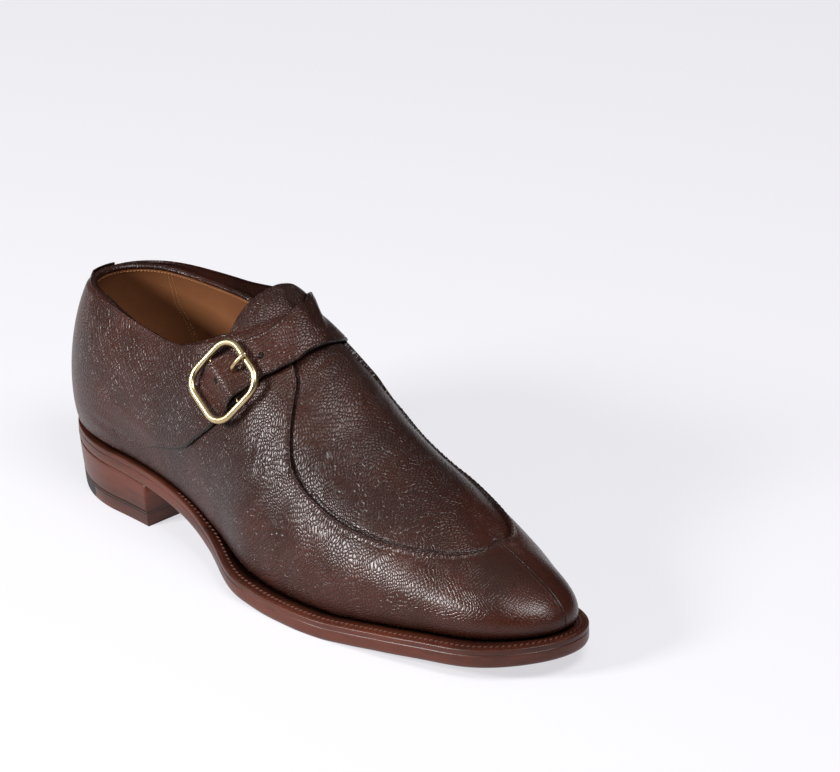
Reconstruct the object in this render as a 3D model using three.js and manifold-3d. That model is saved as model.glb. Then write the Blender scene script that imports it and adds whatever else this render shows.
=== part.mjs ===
// Monk strap shoe for the right foot: a welted leather shoe with an apron front, a split toe and one
// buckled strap. Millimetres. +X runs from heel to toe, -Y is the outer side with the buckle, +Z is up.
import * as THREE from 'three';
import { mergeVertices } from 'three/addons/utils/BufferGeometryUtils.js';
import Module from 'manifold-3d';

const wasm = await Module();
wasm.setup();

// Last and upper
const lastLength = 289; // along the feather line, where upper and welt meet
const ballWidth = 82; // across the feather line at the ball of the foot
const instepHeight = 96; // ridge above the feather line at the instep
const upperWall = 2.2; // vamp leather with its lining
const plugDrop = 0.9; // the apron's plug lies this much below the side panels
const seamRise = 0.7; // pinched seams stand this much proud
const seamWidth = 1.6;
const leather = 1.3; // quarters, strap and heel tab
const tongueWall = 1.6;
const fitGap = 0.3; // between pieces that meet
const panelGap = 0.6; // under a panel on the last's round faces, where flat facets bring the two closer

// Bottom
const heelHeight = 21.3; // from the floor to the outsole's seat
const toeSpring = 9;
const outsoleThickness = 5.2; // at the forepart
const weltThickness = 2.3;
const weltReach = 7.6; // beyond the feather line at the ball
const insoleThickness = 3.6;
const insoleInset = 2.6; // in from the feather line
const heelLength = 65; // heel back to breast
const heelTaper = 2.4; // how far the heel draws in at the floor
const topPieceThickness = 5.6;
const bandThickness = 1;
const rubberLength = 27; // rear part of the top piece

// Strap and buckle
const strapWidth = 20.8; // through the buckle
const strapSlack = 0.5; // between the strap's edge and the buckle frame
const wireDiameter = 3.2;
const barDiameter = 2.2;
const prongDiameter = 1.8;
const holeDiameter = 3;
const frameLength = 28.7; // along the strap, over the wires
const frameCorner = 7.3; // radius of the frame's corners, at the middle of the wire
const prongReach = 2.6; // prong end beyond the near wire's middle
const strapTail = 2.2; // strap end beyond the far wire's middle
const strapReach = 44; // from the buckle's centre back over the ridge
const tailRound = 4; // radius of the strap end's corners
const holeAt = 7; // the used hole, from the buckle's centre towards the ridge

// Places on the last: share of its length, and share of the way from feather line to ridge
const buckleAt = { share: 0.417, up: 0.5715 };
const buckleTurn = -28.5; // degrees from the rib under the buckle to the strap, towards the toe
const throat = 0.455; // share of the length where the collar closes at the ridge
const heelTabWidth = 13;

// Monotone cubic through a table's rows: table.column(share) gives that column's value
function table(columns, rows) {
  const xs = rows.map((row) => row[0]);
  const made = {};
  columns.forEach((name, index) => {
    const ys = rows.map((row) => row[index + 1]);
    const steps = xs.slice(1).map((x, i) => x - xs[i]);
    const slopes = steps.map((step, i) => (ys[i + 1] - ys[i]) / step);
    const last = slopes.length;
    const endSlope = (h0, h1, s0, s1) => {
      const slope = ((2 * h0 + h1) * s0 - h0 * s1) / (h0 + h1);
      if (slope * s0 <= 0) return 0;
      return s0 * s1 <= 0 && Math.abs(slope) > 3 * Math.abs(s0) ? 3 * s0 : slope;
    };
    const tangents = xs.map((x, i) => {
      if (i === 0) return endSlope(steps[0], steps[1], slopes[0], slopes[1]);
      if (i === last) return endSlope(steps[last - 1], steps[last - 2], slopes[last - 1], slopes[last - 2]);
      if (slopes[i - 1] * slopes[i] <= 0) return 0;
      const before = 2 * steps[i] + steps[i - 1];
      const after = steps[i] + 2 * steps[i - 1];
      return (before + after) / (before / slopes[i - 1] + after / slopes[i]);
    });
    made[name] = (share) => {
      let i = 0;
      while (i < last - 1 && share > xs[i + 1]) i += 1;
      const h = steps[i];
      const u = THREE.MathUtils.clamp((share - xs[i]) / h, 0, 1);
      const a = 2 * u ** 3 - 3 * u ** 2 + 1;
      const b = u ** 3 - 2 * u ** 2 + u;
      const c = 3 * u ** 2 - 2 * u ** 3;
      const d = u ** 3 - u ** 2;
      return a * ys[i] + b * h * tangents[i] + c * ys[i + 1] + d * h * tangents[i + 1];
    };
  });
  return made;
}

// Half widths of the feather line, as shares of the ball width
const plan = table(['outer', 'inner'], [
  [0, 0.337, 0.337], [0.08, 0.35, 0.352], [0.16, 0.355, 0.347], [0.28, 0.379, 0.331], [0.4, 0.448, 0.332],
  [0.52, 0.558, 0.38], [0.62, 0.562, 0.428], [0.7, 0.531, 0.438], [0.78, 0.477, 0.404], [0.86, 0.412, 0.354],
  [0.93, 0.41, 0.312], [1, 0.342, 0.342],
]);
// Underside of the outsole: shares of the heel height and of the toe spring, and of the outsole's thickness
const bottom = table(['heel', 'toe', 'thickness'], [
  [0, 1, 0, 0.84], [0.12, 0.975, 0, 0.86], [0.22, 0.905, 0, 0.96], [0.32, 0.72, 0, 0.98], [0.42, 0.35, 0, 1],
  [0.5, 0.105, 0, 1.02], [0.58, 0, 0, 1.05], [0.67, 0, 0, 1.05], [0.72, 0, 0.135, 1.06], [0.82, 0, 0.44, 1.06],
  [0.92, 0, 0.675, 1.06], [1, 0, 1, 1.02],
]);
// Ridge line above the feather line, share of the instep height; its drift inwards, share of the ball
// width; and how far the ribs run level from it
const ridge = table(['height', 'drift', 'level'], [
  [0.05, 0.84, 0, 0.95], [0.25, 0.925, 0.03, 0.86], [0.38, 1.01, 0.06, 0.78], [0.46, 0.997, 0.06, 0.66],
  [0.54, 0.903, 0.066, 0.64], [0.62, 0.728, 0.048, 0.6], [0.7, 0.583, 0.047, 0.65], [0.78, 0.454, 0.037, 0.68],
  [0.86, 0.336, 0.018, 0.66], [1, 0.227, 0, 0.6],
]);
// Swell of the side walls, shares of the ball width, and the height that it starts from, share of the instep
const swell = table(['outer', 'inner', 'rise'], [
  [0, 0.076, 0.076, 0.258], [0.1, 0.125, 0.165, 0.334], [0.25, 0.168, 0.145, 0.375], [0.4, 0.175, 0.126, 0.369],
  [0.55, 0.171, 0.127, 0.276], [0.68, 0.146, 0.128, 0.203], [0.8, 0.122, 0.106, 0.16], [0.9, 0.11, 0.088, 0.142],
  [1, 0.082, 0.082, 0.143],
]);
// Welt beyond the feather line, shares of its reach
const welt = table(['outer', 'inner'], [
  [0, 0.388, 0.388], [0.2, 0.254, 0.2], [0.35, 0.367, 0.16], [0.5, 0.93, 0.41], [0.62, 1.026, 0.7],
  [0.75, 1.01, 0.787], [0.9, 1.14, 0.63], [1, 0.74, 0.74],
]);
// Collar edge, as the share of the way up each rib
const collar = table(['outer', 'inner'], [
  [0, 0.655, 0.655], [0.06, 0.66, 0.635], [0.11, 0.65, 0.612], [0.163, 0.61, 0.6], [0.22, 0.568, 0.596],
  [0.27, 0.557, 0.596], [0.314, 0.588, 0.618], [0.345, 0.633, 0.66], [0.378, 0.703, 0.73], [0.41, 0.8, 0.84],
  [0.44, 0.93, 0.95], [throat, 1, 1],
]);
// Apron seam, as the share of the way up each rib; before 0.5 it is hidden under the quarters
const apron = table(['outer', 'inner'], [
  [0, 0.4, 0.4], [0.3, 0.4, 0.4], [0.42, 0.6, 0.62], [0.485, 0.8, 0.82], [0.513, 0.765, 0.81],
  [0.534, 0.665, 0.77], [0.55, 0.59, 0.72], [0.57, 0.53, 0.66], [0.6, 0.508, 0.615], [0.64, 0.505, 0.59],
  [0.725, 0.53, 0.6], [0.78, 0.58, 0.64], [0.829, 0.657, 0.69], [0.87, 0.745, 0.765], [0.91, 0.83, 0.835],
  [0.95, 0.89, 0.89], [1, 0.93, 0.93],
]);

const vec = (x, y, z) => new THREE.Vector3(x, y, z);
const lerp = THREE.MathUtils.lerp;
const between = (value, low, high) => THREE.MathUtils.smoothstep(value, low, high);
const softplus = (x) => Math.log1p(Math.exp(-Math.abs(x))) + Math.max(x, 0);
const shareOf = (turn) => (1 - Math.cos(Math.PI * turn)) / 2; // turn 0 is the heel back, 1 the toe tip
const turnOf = (share) => Math.acos(1 - 2 * share) / Math.PI;

const heelRound = { length: 0.148, power: 1.95 }; // the plan's round ends, as superellipses
const toeRound = { length: 0.212, power: 2.16 };
const ribFan = { start: 0.1, end: 0.845, softness: 0.03 }; // the ribs fan out from the ridge's two ends

function endRound(share) {
  const heel = Math.max(0, 1 - share / heelRound.length);
  const toe = Math.max(0, 1 - (1 - share) / toeRound.length);
  return (1 - heel ** heelRound.power) ** (1 / heelRound.power) * (1 - toe ** toeRound.power) ** (1 / toeRound.power);
}

const soleUnder = (share) => heelHeight * bottom.heel(share) + toeSpring * bottom.toe(share);
const soleTop = (share) => soleUnder(share) + outsoleThickness * bottom.thickness(share);
const weltUnder = (share) => soleTop(share) + fitGap;
const featherHeight = (share) => weltUnder(share) + weltThickness + fitGap;
const ridgeHeight = (share) => featherHeight(share) + instepHeight * ridge.height(share);
const sideName = (side) => (side < 0 ? 'outer' : 'inner');

function featherPoint(turn, side) {
  const share = shareOf(turn);
  const half = ballWidth * plan[sideName(side)](share) * endRound(share);
  return vec(share * lastLength, side * half, featherHeight(share));
}

// The last: turn runs from heel to toe, and up from 0 at the outer feather line over 1 at the ridge to 2
// at the inner one. A turn beyond 0 or 1 comes back along the other side.
function lastPoint(turn, up) {
  if (turn < 0) return lastPoint(-turn, 2 - up);
  if (turn > 1) return lastPoint(2 - turn, 2 - up);
  const side = up <= 1 ? -1 : 1;
  const t = up <= 1 ? up : 2 - up;
  const share = shareOf(turn);
  const foot = featherPoint(turn, side);
  const softness = ribFan.softness;
  const along = ribFan.start + softness * softplus((share - ribFan.start) / softness)
    - softness * softplus((share - ribFan.end) / softness);
  const top = vec(along * lastLength, ballWidth * ridge.drift(along), ridgeHeight(along));
  const reach = vec(foot.x - top.x, foot.y - top.y, 0);
  const out = reach.clone().normalize();
  const low = foot.clone().addScaledVector(out, ballWidth * swell[sideName(side)](share));
  low.z += instepHeight * swell.rise(share);
  const level = ridge.level(along);
  const high = top.clone().addScaledVector(reach, level);
  const step = 0.001;
  if (along > 0.3) {
    const slope = (ridgeHeight(along + step) - ridgeHeight(along - step)) / (2 * step * lastLength);
    high.z += slope * reach.x * level;
  }
  return new THREE.CubicBezierCurve3(foot, low, high, top).getPoint(t);
}

function lastNormal(turn, up) {
  const h = 0.001;
  const along = lastPoint(turn + h, up).sub(lastPoint(turn - h, up));
  const across = lastPoint(turn, Math.min(up + h, 2)).sub(lastPoint(turn, Math.max(up - h, 0)));
  const normal = along.cross(across);
  return normal.length() > 1e-9 ? normal.normalize() : vec(0, 0, 1);
}

const lifted = (turn, up, lift) => lastPoint(turn, up).addScaledVector(lastNormal(turn, up), lift);

// Walks over the last from a place, a distance in the direction given, and returns where it arrives
function walk(place, direction, distance) {
  const stride = 2;
  const count = Math.max(1, Math.ceil(Math.abs(distance) / stride));
  const h = 0.001;
  let { turn, up } = place;
  const heading = direction.clone();
  for (let i = 0; i < count; i += 1) {
    const normal = lastNormal(turn, up);
    heading.addScaledVector(normal, -heading.dot(normal)).normalize();
    const a = lastPoint(turn + h, up).sub(lastPoint(turn - h, up)).divideScalar(2 * h);
    const b = lastPoint(turn, up + h).sub(lastPoint(turn, up - h)).divideScalar(2 * h);
    const target = heading.clone().multiplyScalar(distance / count);
    const det = a.dot(a) * b.dot(b) - a.dot(b) ** 2;
    turn += (b.dot(b) * a.dot(target) - a.dot(b) * b.dot(target)) / det;
    up += (a.dot(a) * b.dot(target) - a.dot(b) * a.dot(target)) / det;
  }
  return { turn, up, heading };
}

// Collects faces as grids of points and turns them into one closed geometry
class Shell {
  constructor() {
    this.corners = [];
  }

  triangle(a, b, c) {
    this.corners.push(...a.toArray(), ...b.toArray(), ...c.toArray());
  }

  // Rows of points; the faces look along (next row) x (next column), or the other way when flipped
  sheet(grid, flipped = false) {
    for (let i = 0; i + 1 < grid.length; i += 1) {
      for (let j = 0; j + 1 < grid[i].length; j += 1) {
        const [a, b, c, d] = [grid[i][j], grid[i + 1][j], grid[i + 1][j + 1], grid[i][j + 1]];
        if (flipped) {
          this.triangle(a, c, b);
          this.triangle(a, d, c);
        } else {
          this.triangle(a, b, c);
          this.triangle(a, c, d);
        }
      }
    }
    return this;
  }

  // Faces that have shrunk to a line are dropped, and the rest are turned to look outwards
  geometry() {
    const loose = new THREE.BufferGeometry();
    loose.setAttribute('position', new THREE.Float32BufferAttribute(this.corners, 3));
    const merged = mergeVertices(loose, 1e-4);
    const place = merged.getAttribute('position');
    const corner = (i) => new THREE.Vector3().fromBufferAttribute(place, i);
    const index = [];
    const all = merged.getIndex().array;
    let volume = 0;
    for (let i = 0; i < all.length; i += 3) {
      const [a, b, c] = [all[i], all[i + 1], all[i + 2]];
      if (a !== b && b !== c && c !== a) {
        index.push(a, b, c);
        volume += corner(a).dot(corner(b).cross(corner(c)));
      }
    }
    merged.setIndex(volume < 0 ? index.reverse() : index);
    return merged;
  }
}

function toSolid(geometry) {
  const bare = geometry.clone();
  bare.deleteAttribute('normal');
  bare.deleteAttribute('uv');
  const merged = mergeVertices(bare, 1e-4);
  const vertProperties = new Float32Array(merged.getAttribute('position').array);
  const triVerts = new Uint32Array(merged.getIndex().array);
  return new wasm.Manifold(new wasm.Mesh({ numProp: 3, vertProperties, triVerts }));
}

function toGeometry(solid) {
  const mesh = solid.getMesh();
  const geometry = new THREE.BufferGeometry();
  geometry.setAttribute('position', new THREE.Float32BufferAttribute(mesh.vertProperties, 3));
  geometry.setIndex(Array.from(mesh.triVerts));
  return geometry;
}

const range = (count) => Array.from({ length: count + 1 }, (_, i) => i / count);
const drawn = (u, amount) => lerp(u, Math.sin((u * Math.PI) / 2), amount); // steps draw together towards 1

// Closed solid from rows of closed sections with equal counts; flat ends unless a row has no area
function loft(sections, capped = true) {
  const shell = new Shell();
  shell.sheet(sections.map((section) => [...section, section[0]]), true);
  if (capped) {
    const caps = [[sections[0], true], [sections[sections.length - 1], false]];
    for (const [section, flipped] of caps) {
      for (let i = 1; i + 1 < section.length; i += 1) {
        const [a, b, c] = [section[0], section[i], section[i + 1]];
        if (flipped) shell.triangle(a, c, b);
        else shell.triangle(a, b, c);
      }
    }
  }
  return shell.geometry();
}

// Leather panel on the last between two edges, each a function of 0..1 that returns a place; its columns
// draw together towards the back edge, which on a quarter runs round the heel
const columnsDrawn = 0.4;
function panel({ rows, columns, front, back, lift, thickness }) {
  const place = (u, w) => {
    const a = front(u);
    const b = back(u);
    return { turn: lerp(a.turn, b.turn, w), up: lerp(a.up, b.up, w), along: lerp(a.along ?? 0, b.along ?? 0, w) };
  };
  const layer = (extra) => rows.map((u) => range(columns).map((w) => {
    const at = place(u, drawn(w, columnsDrawn));
    return lifted(at.turn, at.up, lift(at) + extra);
  }));
  const under = layer(0);
  const over = layer(thickness);
  const edge = (row) => [row.map((i) => under[i[0]][i[1]]), row.map((i) => over[i[0]][i[1]])];
  const lastRow = rows.length - 1;
  const shell = new Shell();
  shell.sheet(over).sheet(under, true);
  shell.sheet(edge(rows.map((_, i) => [i, 0])), true);
  shell.sheet(edge(rows.map((_, i) => [i, columns])));
  shell.sheet(edge(range(columns).map((_, j) => [0, j])));
  shell.sheet(edge(range(columns).map((_, j) => [lastRow, j])), true);
  return shell.geometry();
}

const group = new THREE.Group();

function add(name, geometry, material) {
  const mesh = new THREE.Mesh(geometry, material);
  mesh.name = name;
  group.add(mesh);
  return mesh;
}

const finish = (color, roughness, metalness = 0) => new THREE.MeshStandardMaterial({ color, roughness, metalness });
const grainedLeather = finish(0x3d2420, 0.45);
const liningLeather = finish(0xa8703f, 0.7);
const soleLeather = finish(0x6b3420, 0.35);
const heelRubber = finish(0x1c1a1a, 0.8);
const darkLeather = finish(0x2a1712, 0.5);
const brass = finish(0xb9975b, 0.25, 1);

// Upper: one hollow wall, open at the collar and underneath, with the plug sunk inside its pinched seam
const rowsBeforeThroat = 24;
const rowsAfterThroat = 25;
const toeSeamTurn = 0.014; // half the toe seam's width, as a share of the turn
const throatTurn = turnOf(throat);
const rowsDrawn = 0.55; // rows draw together where the collar closes
const upperRows = [
  ...range(rowsBeforeThroat).map((u) => drawn(u, rowsDrawn) * throatTurn),
  ...range(rowsAfterThroat).slice(1).map((u) => lerp(throatTurn, 1 - toeSeamTurn, u)),
  1,
];

function ribLength(turn, side) {
  const ups = range(10).map((t) => (side < 0 ? t : 2 - t));
  return ups.slice(1).reduce((sum, up, i) => sum + lastPoint(turn, up).distanceTo(lastPoint(turn, ups[i])), 0);
}

// Columns of the outer skin at a rib: how far up, and how far off the last
function outerColumns(turn, side) {
  const share = shareOf(turn);
  const top = share < throat ? collar[sideName(side)](share) : 1;
  const seam = Math.min(apron[sideName(side)](share), top - 0.05);
  const width = seamWidth / ribLength(turn, side);
  const lip = seamRise * between(share, throat + 0.055, throat + 0.075);
  const drop = plugDrop * between(share, throat + 0.005, throat + 0.045);
  const toeSeam = turn === 1 ? seamRise : 0;
  const wallEnd = seam - 1.5 * width;
  return [
    ...[0, 0.14, 0.32, 0.55, 0.8, 1].map((part) => [wallEnd * part, part > 0 ? toeSeam : 0]),
    [seam - 0.5 * width, Math.max(lip, toeSeam)],
    [seam + 0.1 * width, lip * 0.6],
    [seam + 0.5 * width, -drop],
    ...[0.28, 0.54, 0.78, 1].map((part) => [lerp(seam + 0.5 * width, top, part), -drop]),
  ];
}

function innerColumns(turn, side) {
  const share = shareOf(turn);
  const top = share < throat ? collar[sideName(side)](share) : 1;
  return [0, 0.13, 0.28, 0.43, 0.57, 0.69, 0.8, 0.9, 1].map((part) => [top * part, -upperWall]);
}

function makeUpper() {
  const grid = (side, columns) => upperRows.map((turn) => columns(turn, side)
    .map(([t, lift]) => lifted(turn, side < 0 ? t : 2 - t, lift)));
  const outer = { out: grid(-1, outerColumns), in: grid(-1, innerColumns) };
  const inner = { out: grid(1, outerColumns), in: grid(1, innerColumns) };
  const first = (rows) => rows.map((row) => row[0]);
  const top = (rows) => rows.slice(0, rowsBeforeThroat + 1).map((row) => row[row.length - 1]);
  const shell = new Shell();
  shell.sheet(outer.out).sheet(inner.out, true).sheet(outer.in, true).sheet(inner.in);
  shell.sheet([first(outer.out), first(outer.in)]).sheet([first(inner.out), first(inner.in)], true);
  shell.sheet([top(outer.out), top(outer.in)], true).sheet([top(inner.out), top(inner.in)]);
  return shell.geometry();
}

add('upper', makeUpper(), grainedLeather);

// Bottom pieces follow the feather line, moved out or in square to it
function edgePoint(turn, side, outwards, height) {
  const h = 0.0005;
  const at = (value) => {
    if (value < 0) return featherPoint(-value, -side);
    return value > 1 ? featherPoint(2 - value, -side) : featherPoint(value, side);
  };
  const tangent = at(turn + h).sub(at(turn - h)).setZ(0).normalize();
  const point = featherPoint(turn, side);
  return vec(point.x - tangent.y * side * outwards, point.y + tangent.x * side * outwards, height);
}

const weltEdge = (turn, side) => weltReach * welt[sideName(side)](shareOf(turn));
const soleRows = range(50);
const soleEdgeRound = 0.7; // the outsole's edge swells by this much at its middle

function makeOutsole() {
  return loft(soleRows.map((turn) => {
    const share = shareOf(turn);
    const [low, high] = [soleUnder(share), soleTop(share)];
    const half = (side) => [[-soleEdgeRound, low], [0, lerp(low, high, 0.45)], [-soleEdgeRound / 3, high]]
      .map(([out, z]) => edgePoint(turn, side, weltEdge(turn, side) + out, z));
    return [...half(-1), ...half(1).reverse()];
  }), false);
}

const weltSeat = upperWall - 0.2; // how far the welt reaches in under the upper
const weltBevel = 0.6;

function makeWelt() {
  const section = (turn, side) => {
    const share = shareOf(turn);
    const low = weltUnder(share);
    const high = low + weltThickness;
    const out = weltEdge(turn, side);
    return [[-weltSeat, low], [out - 0.3, low], [out, lerp(low, high, 0.5)], [out - weltBevel, high], [-weltSeat, high]]
      .map(([outwards, z]) => edgePoint(turn, side, outwards, z));
  };
  const around = [...soleRows.map((turn) => section(turn, -1)), ...soleRows.map((turn) => section(1 - turn, 1))];
  return loft(around, false);
}

function makeInsole() {
  return loft(soleRows.map((turn) => {
    const low = weltUnder(shareOf(turn));
    const high = low + insoleThickness;
    const corner = (side, z) => edgePoint(turn, side, -insoleInset, z);
    return [corner(-1, low), corner(-1, high), corner(1, high), corner(1, low)];
  }), false);
}

add('outsole', makeOutsole(), soleLeather);
add('welt', makeWelt(), soleLeather);
add('insole', makeInsole(), liningLeather);

// Heel: blocks of the heel's outline between two levels and two places along the shoe
function heelBlock(from, to, low, high) {
  const corner = (turn, side, z) => {
    const drawn = heelTaper * Math.max(0, 1 - z / heelHeight);
    const back = 1 - between(shareOf(turn), 0, heelRound.length);
    return edgePoint(turn, side, weltEdge(turn, side) - soleEdgeRound / 3 - drawn * lerp(0.4, 1, back), z);
  };
  const ends = [from, to].map((length) => turnOf(length / lastLength));
  const count = Math.max(4, Math.round((ends[1] - ends[0]) * 45));
  const sections = range(count).map((u) => {
    const turn = lerp(ends[0], ends[1], u);
    const top = high(shareOf(turn));
    return [corner(turn, -1, low), corner(turn, -1, top), corner(turn, 1, top), corner(turn, 1, low)];
  });
  return loft(sections, true);
}

const level = (z) => () => z;
const bandTop = topPieceThickness + bandThickness;
const seatUnder = (share) => soleUnder(share) - fitGap;
add('heel_stack', heelBlock(0, heelLength, bandTop, seatUnder), soleLeather);
add('heel_band', heelBlock(0, heelLength, topPieceThickness, level(bandTop)), darkLeather);
add('top_piece_rubber', heelBlock(0, rubberLength, 0, level(topPieceThickness)), heelRubber);
add('top_piece_leather', heelBlock(rubberLength, heelLength, 0, level(topPieceThickness)), soleLeather);

// Quarters: panels over the upper from the back seam and the collar to their front edges
const seamTurn = 0.0015; // the back seam's half width, as a share of the turn
const footClear = 0.022; // panels start this share of the way up the ribs, clear of the welt
const collarClear = 0.008; // and end this share short of the collar edge
const sideShare = 0.3; // part of a quarter's rows that start at the back seam
const quarterEnd = 0.438; // share of the length where a quarter's collar edge ends

function quarterBack(side, u) {
  const name = sideName(side);
  const forwards = Math.max(0, (u - sideShare) / (1 - sideShare));
  const turn = lerp(seamTurn, turnOf(quarterEnd), forwards);
  const top = collar[name](shareOf(turn)) - collarClear;
  const t = lerp(footClear, top, Math.min(1, u / sideShare));
  return { turn, up: side < 0 ? t : 2 - t };
}

// Front edges: place along the length, and up the rib
const outerFront = table(['share', 'up'], [
  [0, 0.16, footClear], [0.12, 0.205, 0.07], [0.26, 0.275, 0.163], [0.36, 0.328, 0.223], [0.4, 0.348, 0.253],
  [0.5, 0.375, 0.32], [0.62, 0.411, 0.422], [0.74, 0.442, 0.55], [0.84, 0.463, 0.66], [0.93, 0.472, 0.79],
  [1, 0.457, 0.915],
]);
const innerFront = table(['share', 'up'], [
  [0, 0.41, footClear], [0.15, 0.405, 0.2], [0.3, 0.42, 0.38], [0.45, 0.45, 0.57], [0.6, 0.482, 0.72],
  [0.75, 0.503, 0.84], [0.9, 0.512, 0.96], [1, 0.511, 1.03],
]);
const outerQuarterRows = range(28).map((u) => drawn(u, 0.2));
add('outer_quarter', panel({
  rows: outerQuarterRows,
  columns: 10,
  front: (u) => ({ turn: turnOf(outerFront.share(u)), up: outerFront.up(u) }),
  back: (u) => quarterBack(-1, u),
  lift: () => panelGap,
  thickness: leather,
}), grainedLeather);

// Buckle frame's own axes: along the strap towards the ridge, across it, and off the last
const buckle = { turn: turnOf(buckleAt.share), up: buckleAt.up };
const ribWay = lastPoint(buckle.turn, buckle.up + 0.01).sub(lastPoint(buckle.turn, buckle.up - 0.01)).normalize();
const off = lastNormal(buckle.turn, buckle.up);
const towardsRidge = ribWay.clone().applyAxisAngle(off, THREE.MathUtils.degToRad(buckleTurn));
const acrossStrap = new THREE.Vector3().crossVectors(off, towardsRidge);
const seat = lastPoint(buckle.turn, buckle.up);

const doubled = panelGap + leather + fitGap; // lift of a second layer of leather
const frameHalf = (frameLength - wireDiameter) / 2;
const frameSide = strapWidth / 2 + strapSlack + wireDiameter / 2;
const wireSettle = 0.1; // the last falls away under the bars, so that the frame sits this much lower
const frameLift = doubled + leather + fitGap + wireDiameter / 2 - wireSettle;
const archRise = frameLift + barDiameter / 2 + fitGap - doubled; // the strap's hump over the centre bar
const archWidth = 5.4;

// The strap lies along one path over the last, from the ridge through the buckle
const tail = frameHalf + strapTail;
// Its edges bend towards the toe between the buckle and the ridge: shares of half its width, by shares of its reach
const strapEdges = table(['front', 'back'], [
  [0, 1, 1], [0.31, 1, 1], [0.42, 1.12, 0.85], [0.53, 1.18, 0.68], [0.66, 1.25, 0.58], [0.8, 1.14, 0.64],
  [0.93, 1.1, 0.86], [1, 1.08, 1],
]);
function strapPlace(distance, side) {
  const centre = walk(buckle, towardsRidge, distance);
  const across = new THREE.Vector3().crossVectors(lastNormal(centre.turn, centre.up), centre.heading);
  const nearTail = Math.max(0, (-distance - tail) / tailRound + 1);
  const edge = strapEdges[side < 0 ? 'front' : 'back'](distance / strapReach);
  const half = (strapWidth / 2) * edge * Math.sqrt(1 - 0.55 * nearTail ** 2);
  const place = walk(centre, across, side * half);
  return { turn: place.turn, up: place.up, along: distance };
}

const quarterRows = range(30);
const strapShares = [
  1, 0.91, 0.82, 0.73, 0.64, 0.55, 0.46, 0.39, 0.32, 0.27, 0.23, 0.18, 0.14, 0.1, 0.07, 0.035, 0, -0.035, -0.07,
  -0.1, -0.14, -0.18, -0.23,
];
const strapRows = [...strapShares.map((share) => share * strapReach), -frameHalf, -tail + tailRound / 4, -tail];
const farAlong = 1.4 * strapReach; // the quarter's own rows count as this far from the buckle
const innerRows = [
  ...quarterRows.map((u) => ({
    front: { turn: turnOf(innerFront.share(u)), up: 2 - innerFront.up(u), along: farAlong },
    back: { ...quarterBack(1, u), along: farAlong },
  })),
  ...strapRows.map((distance) => ({ front: strapPlace(distance, -1), back: strapPlace(distance, 1) })),
];
const strapHump = (along) => archRise * Math.exp(-((along / archWidth) ** 2));
const strapLift = ({ up, along }) => lerp(doubled, panelGap, between(up, 0.94, 1.01)) + strapHump(along);

// The prong comes up through one hole in the strap and rests on the frame's near wire
const holePlace = walk(buckle, towardsRidge, holeAt);
const holeUnder = lifted(holePlace.turn, holePlace.up, strapLift({ up: holePlace.up, along: holeAt }));
const standing = new THREE.Quaternion().setFromUnitVectors(vec(0, 1, 0), off);
const holeCutter = new THREE.CylinderGeometry(holeDiameter / 2, holeDiameter / 2, 6 * leather, 12);
holeCutter.applyQuaternion(standing).translate(holeUnder.x, holeUnder.y, holeUnder.z);
const strapSolid = toSolid(panel({
  rows: innerRows,
  columns: 10,
  front: (row) => row.front,
  back: (row) => row.back,
  lift: strapLift,
  thickness: leather,
})).subtract(toSolid(holeCutter));
add('inner_quarter_strap', toGeometry(strapSolid), grainedLeather);

// Tongue: lies under the throat, and its free end comes up level with the upper
const tongueTable = table(['back'], [[0, 0.4], [0.14, 0.388], [0.5, 0.384], [0.86, 0.388], [1, 0.4]]);
const tongueFront = 0.5;
const tongueSides = [0.8, 1.19];
const tongueRise = 1.6;
const tongueGap = 1; // below the upper's wall, whose facets cut the corner over the ridge
function tongueLift({ turn, up }) {
  const side = up < 1 ? -1 : 1;
  const free = 1 - Math.abs(up - 1) - collar[sideName(side)](Math.min(shareOf(turn), throat));
  return -(upperWall + tongueGap + tongueWall) + tongueRise * between(free, 0.05, 0.24);
}
add('tongue', panel({
  rows: range(12),
  columns: 8,
  front: (u) => ({ turn: turnOf(tongueFront), up: lerp(...tongueSides, u) }),
  back: (u) => ({ turn: turnOf(tongueTable.back(u)), up: lerp(...tongueSides, u) }),
  lift: tongueLift,
  thickness: tongueWall,
}), grainedLeather);

// Heel tab: a short strip over the top of the back seam
const tabUp = [0.53, collar.outer(0) - collarClear];
const tabTurn = Math.abs(walk({ turn: seamTurn, up: tabUp[0] }, vec(0, -1, 0), heelTabWidth / 2).turn);
add('heel_tab', panel({
  rows: range(8),
  columns: 3,
  front: (u) => ({ turn: lerp(tabTurn, -tabTurn, u), up: tabUp[0] }),
  back: (u) => ({ turn: lerp(tabTurn, -tabTurn, u), up: tabUp[1] }),
  lift: () => doubled,
  thickness: leather,
}), grainedLeather);

// Buckle: points are given along the strap, across it and off the last
const buckleFrame = new THREE.Matrix4().makeBasis(towardsRidge, acrossStrap, off).setPosition(seat);
const onBuckle = (along, across, height) => vec(along, across, height).applyMatrix4(buckleFrame);

// Round wire along a path, each step with its point and the two directions of its section
function wire(steps, radius, sides, closed) {
  const sections = steps.map(({ point, one, other }) => range(sides).slice(1).map((u) => point.clone()
    .addScaledVector(one, radius * Math.cos(2 * Math.PI * u))
    .addScaledVector(other, radius * Math.sin(2 * Math.PI * u))));
  return loft(closed ? [...sections, sections[0]] : sections, !closed);
}

function frameSteps() {
  const corners = [[1, 1], [-1, 1], [-1, -1], [1, -1]];
  return corners.flatMap(([a, b], corner) => range(6).map((u) => {
    const angle = (corner + u) * (Math.PI / 2);
    const outward = [Math.cos(angle), Math.sin(angle)];
    const along = a * (frameHalf - frameCorner) + frameCorner * outward[0];
    const across = b * (frameSide - frameCorner) + frameCorner * outward[1];
    return {
      point: onBuckle(along, across, frameLift),
      one: towardsRidge.clone().multiplyScalar(outward[0]).addScaledVector(acrossStrap, outward[1]),
      other: off,
    };
  }));
}

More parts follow.
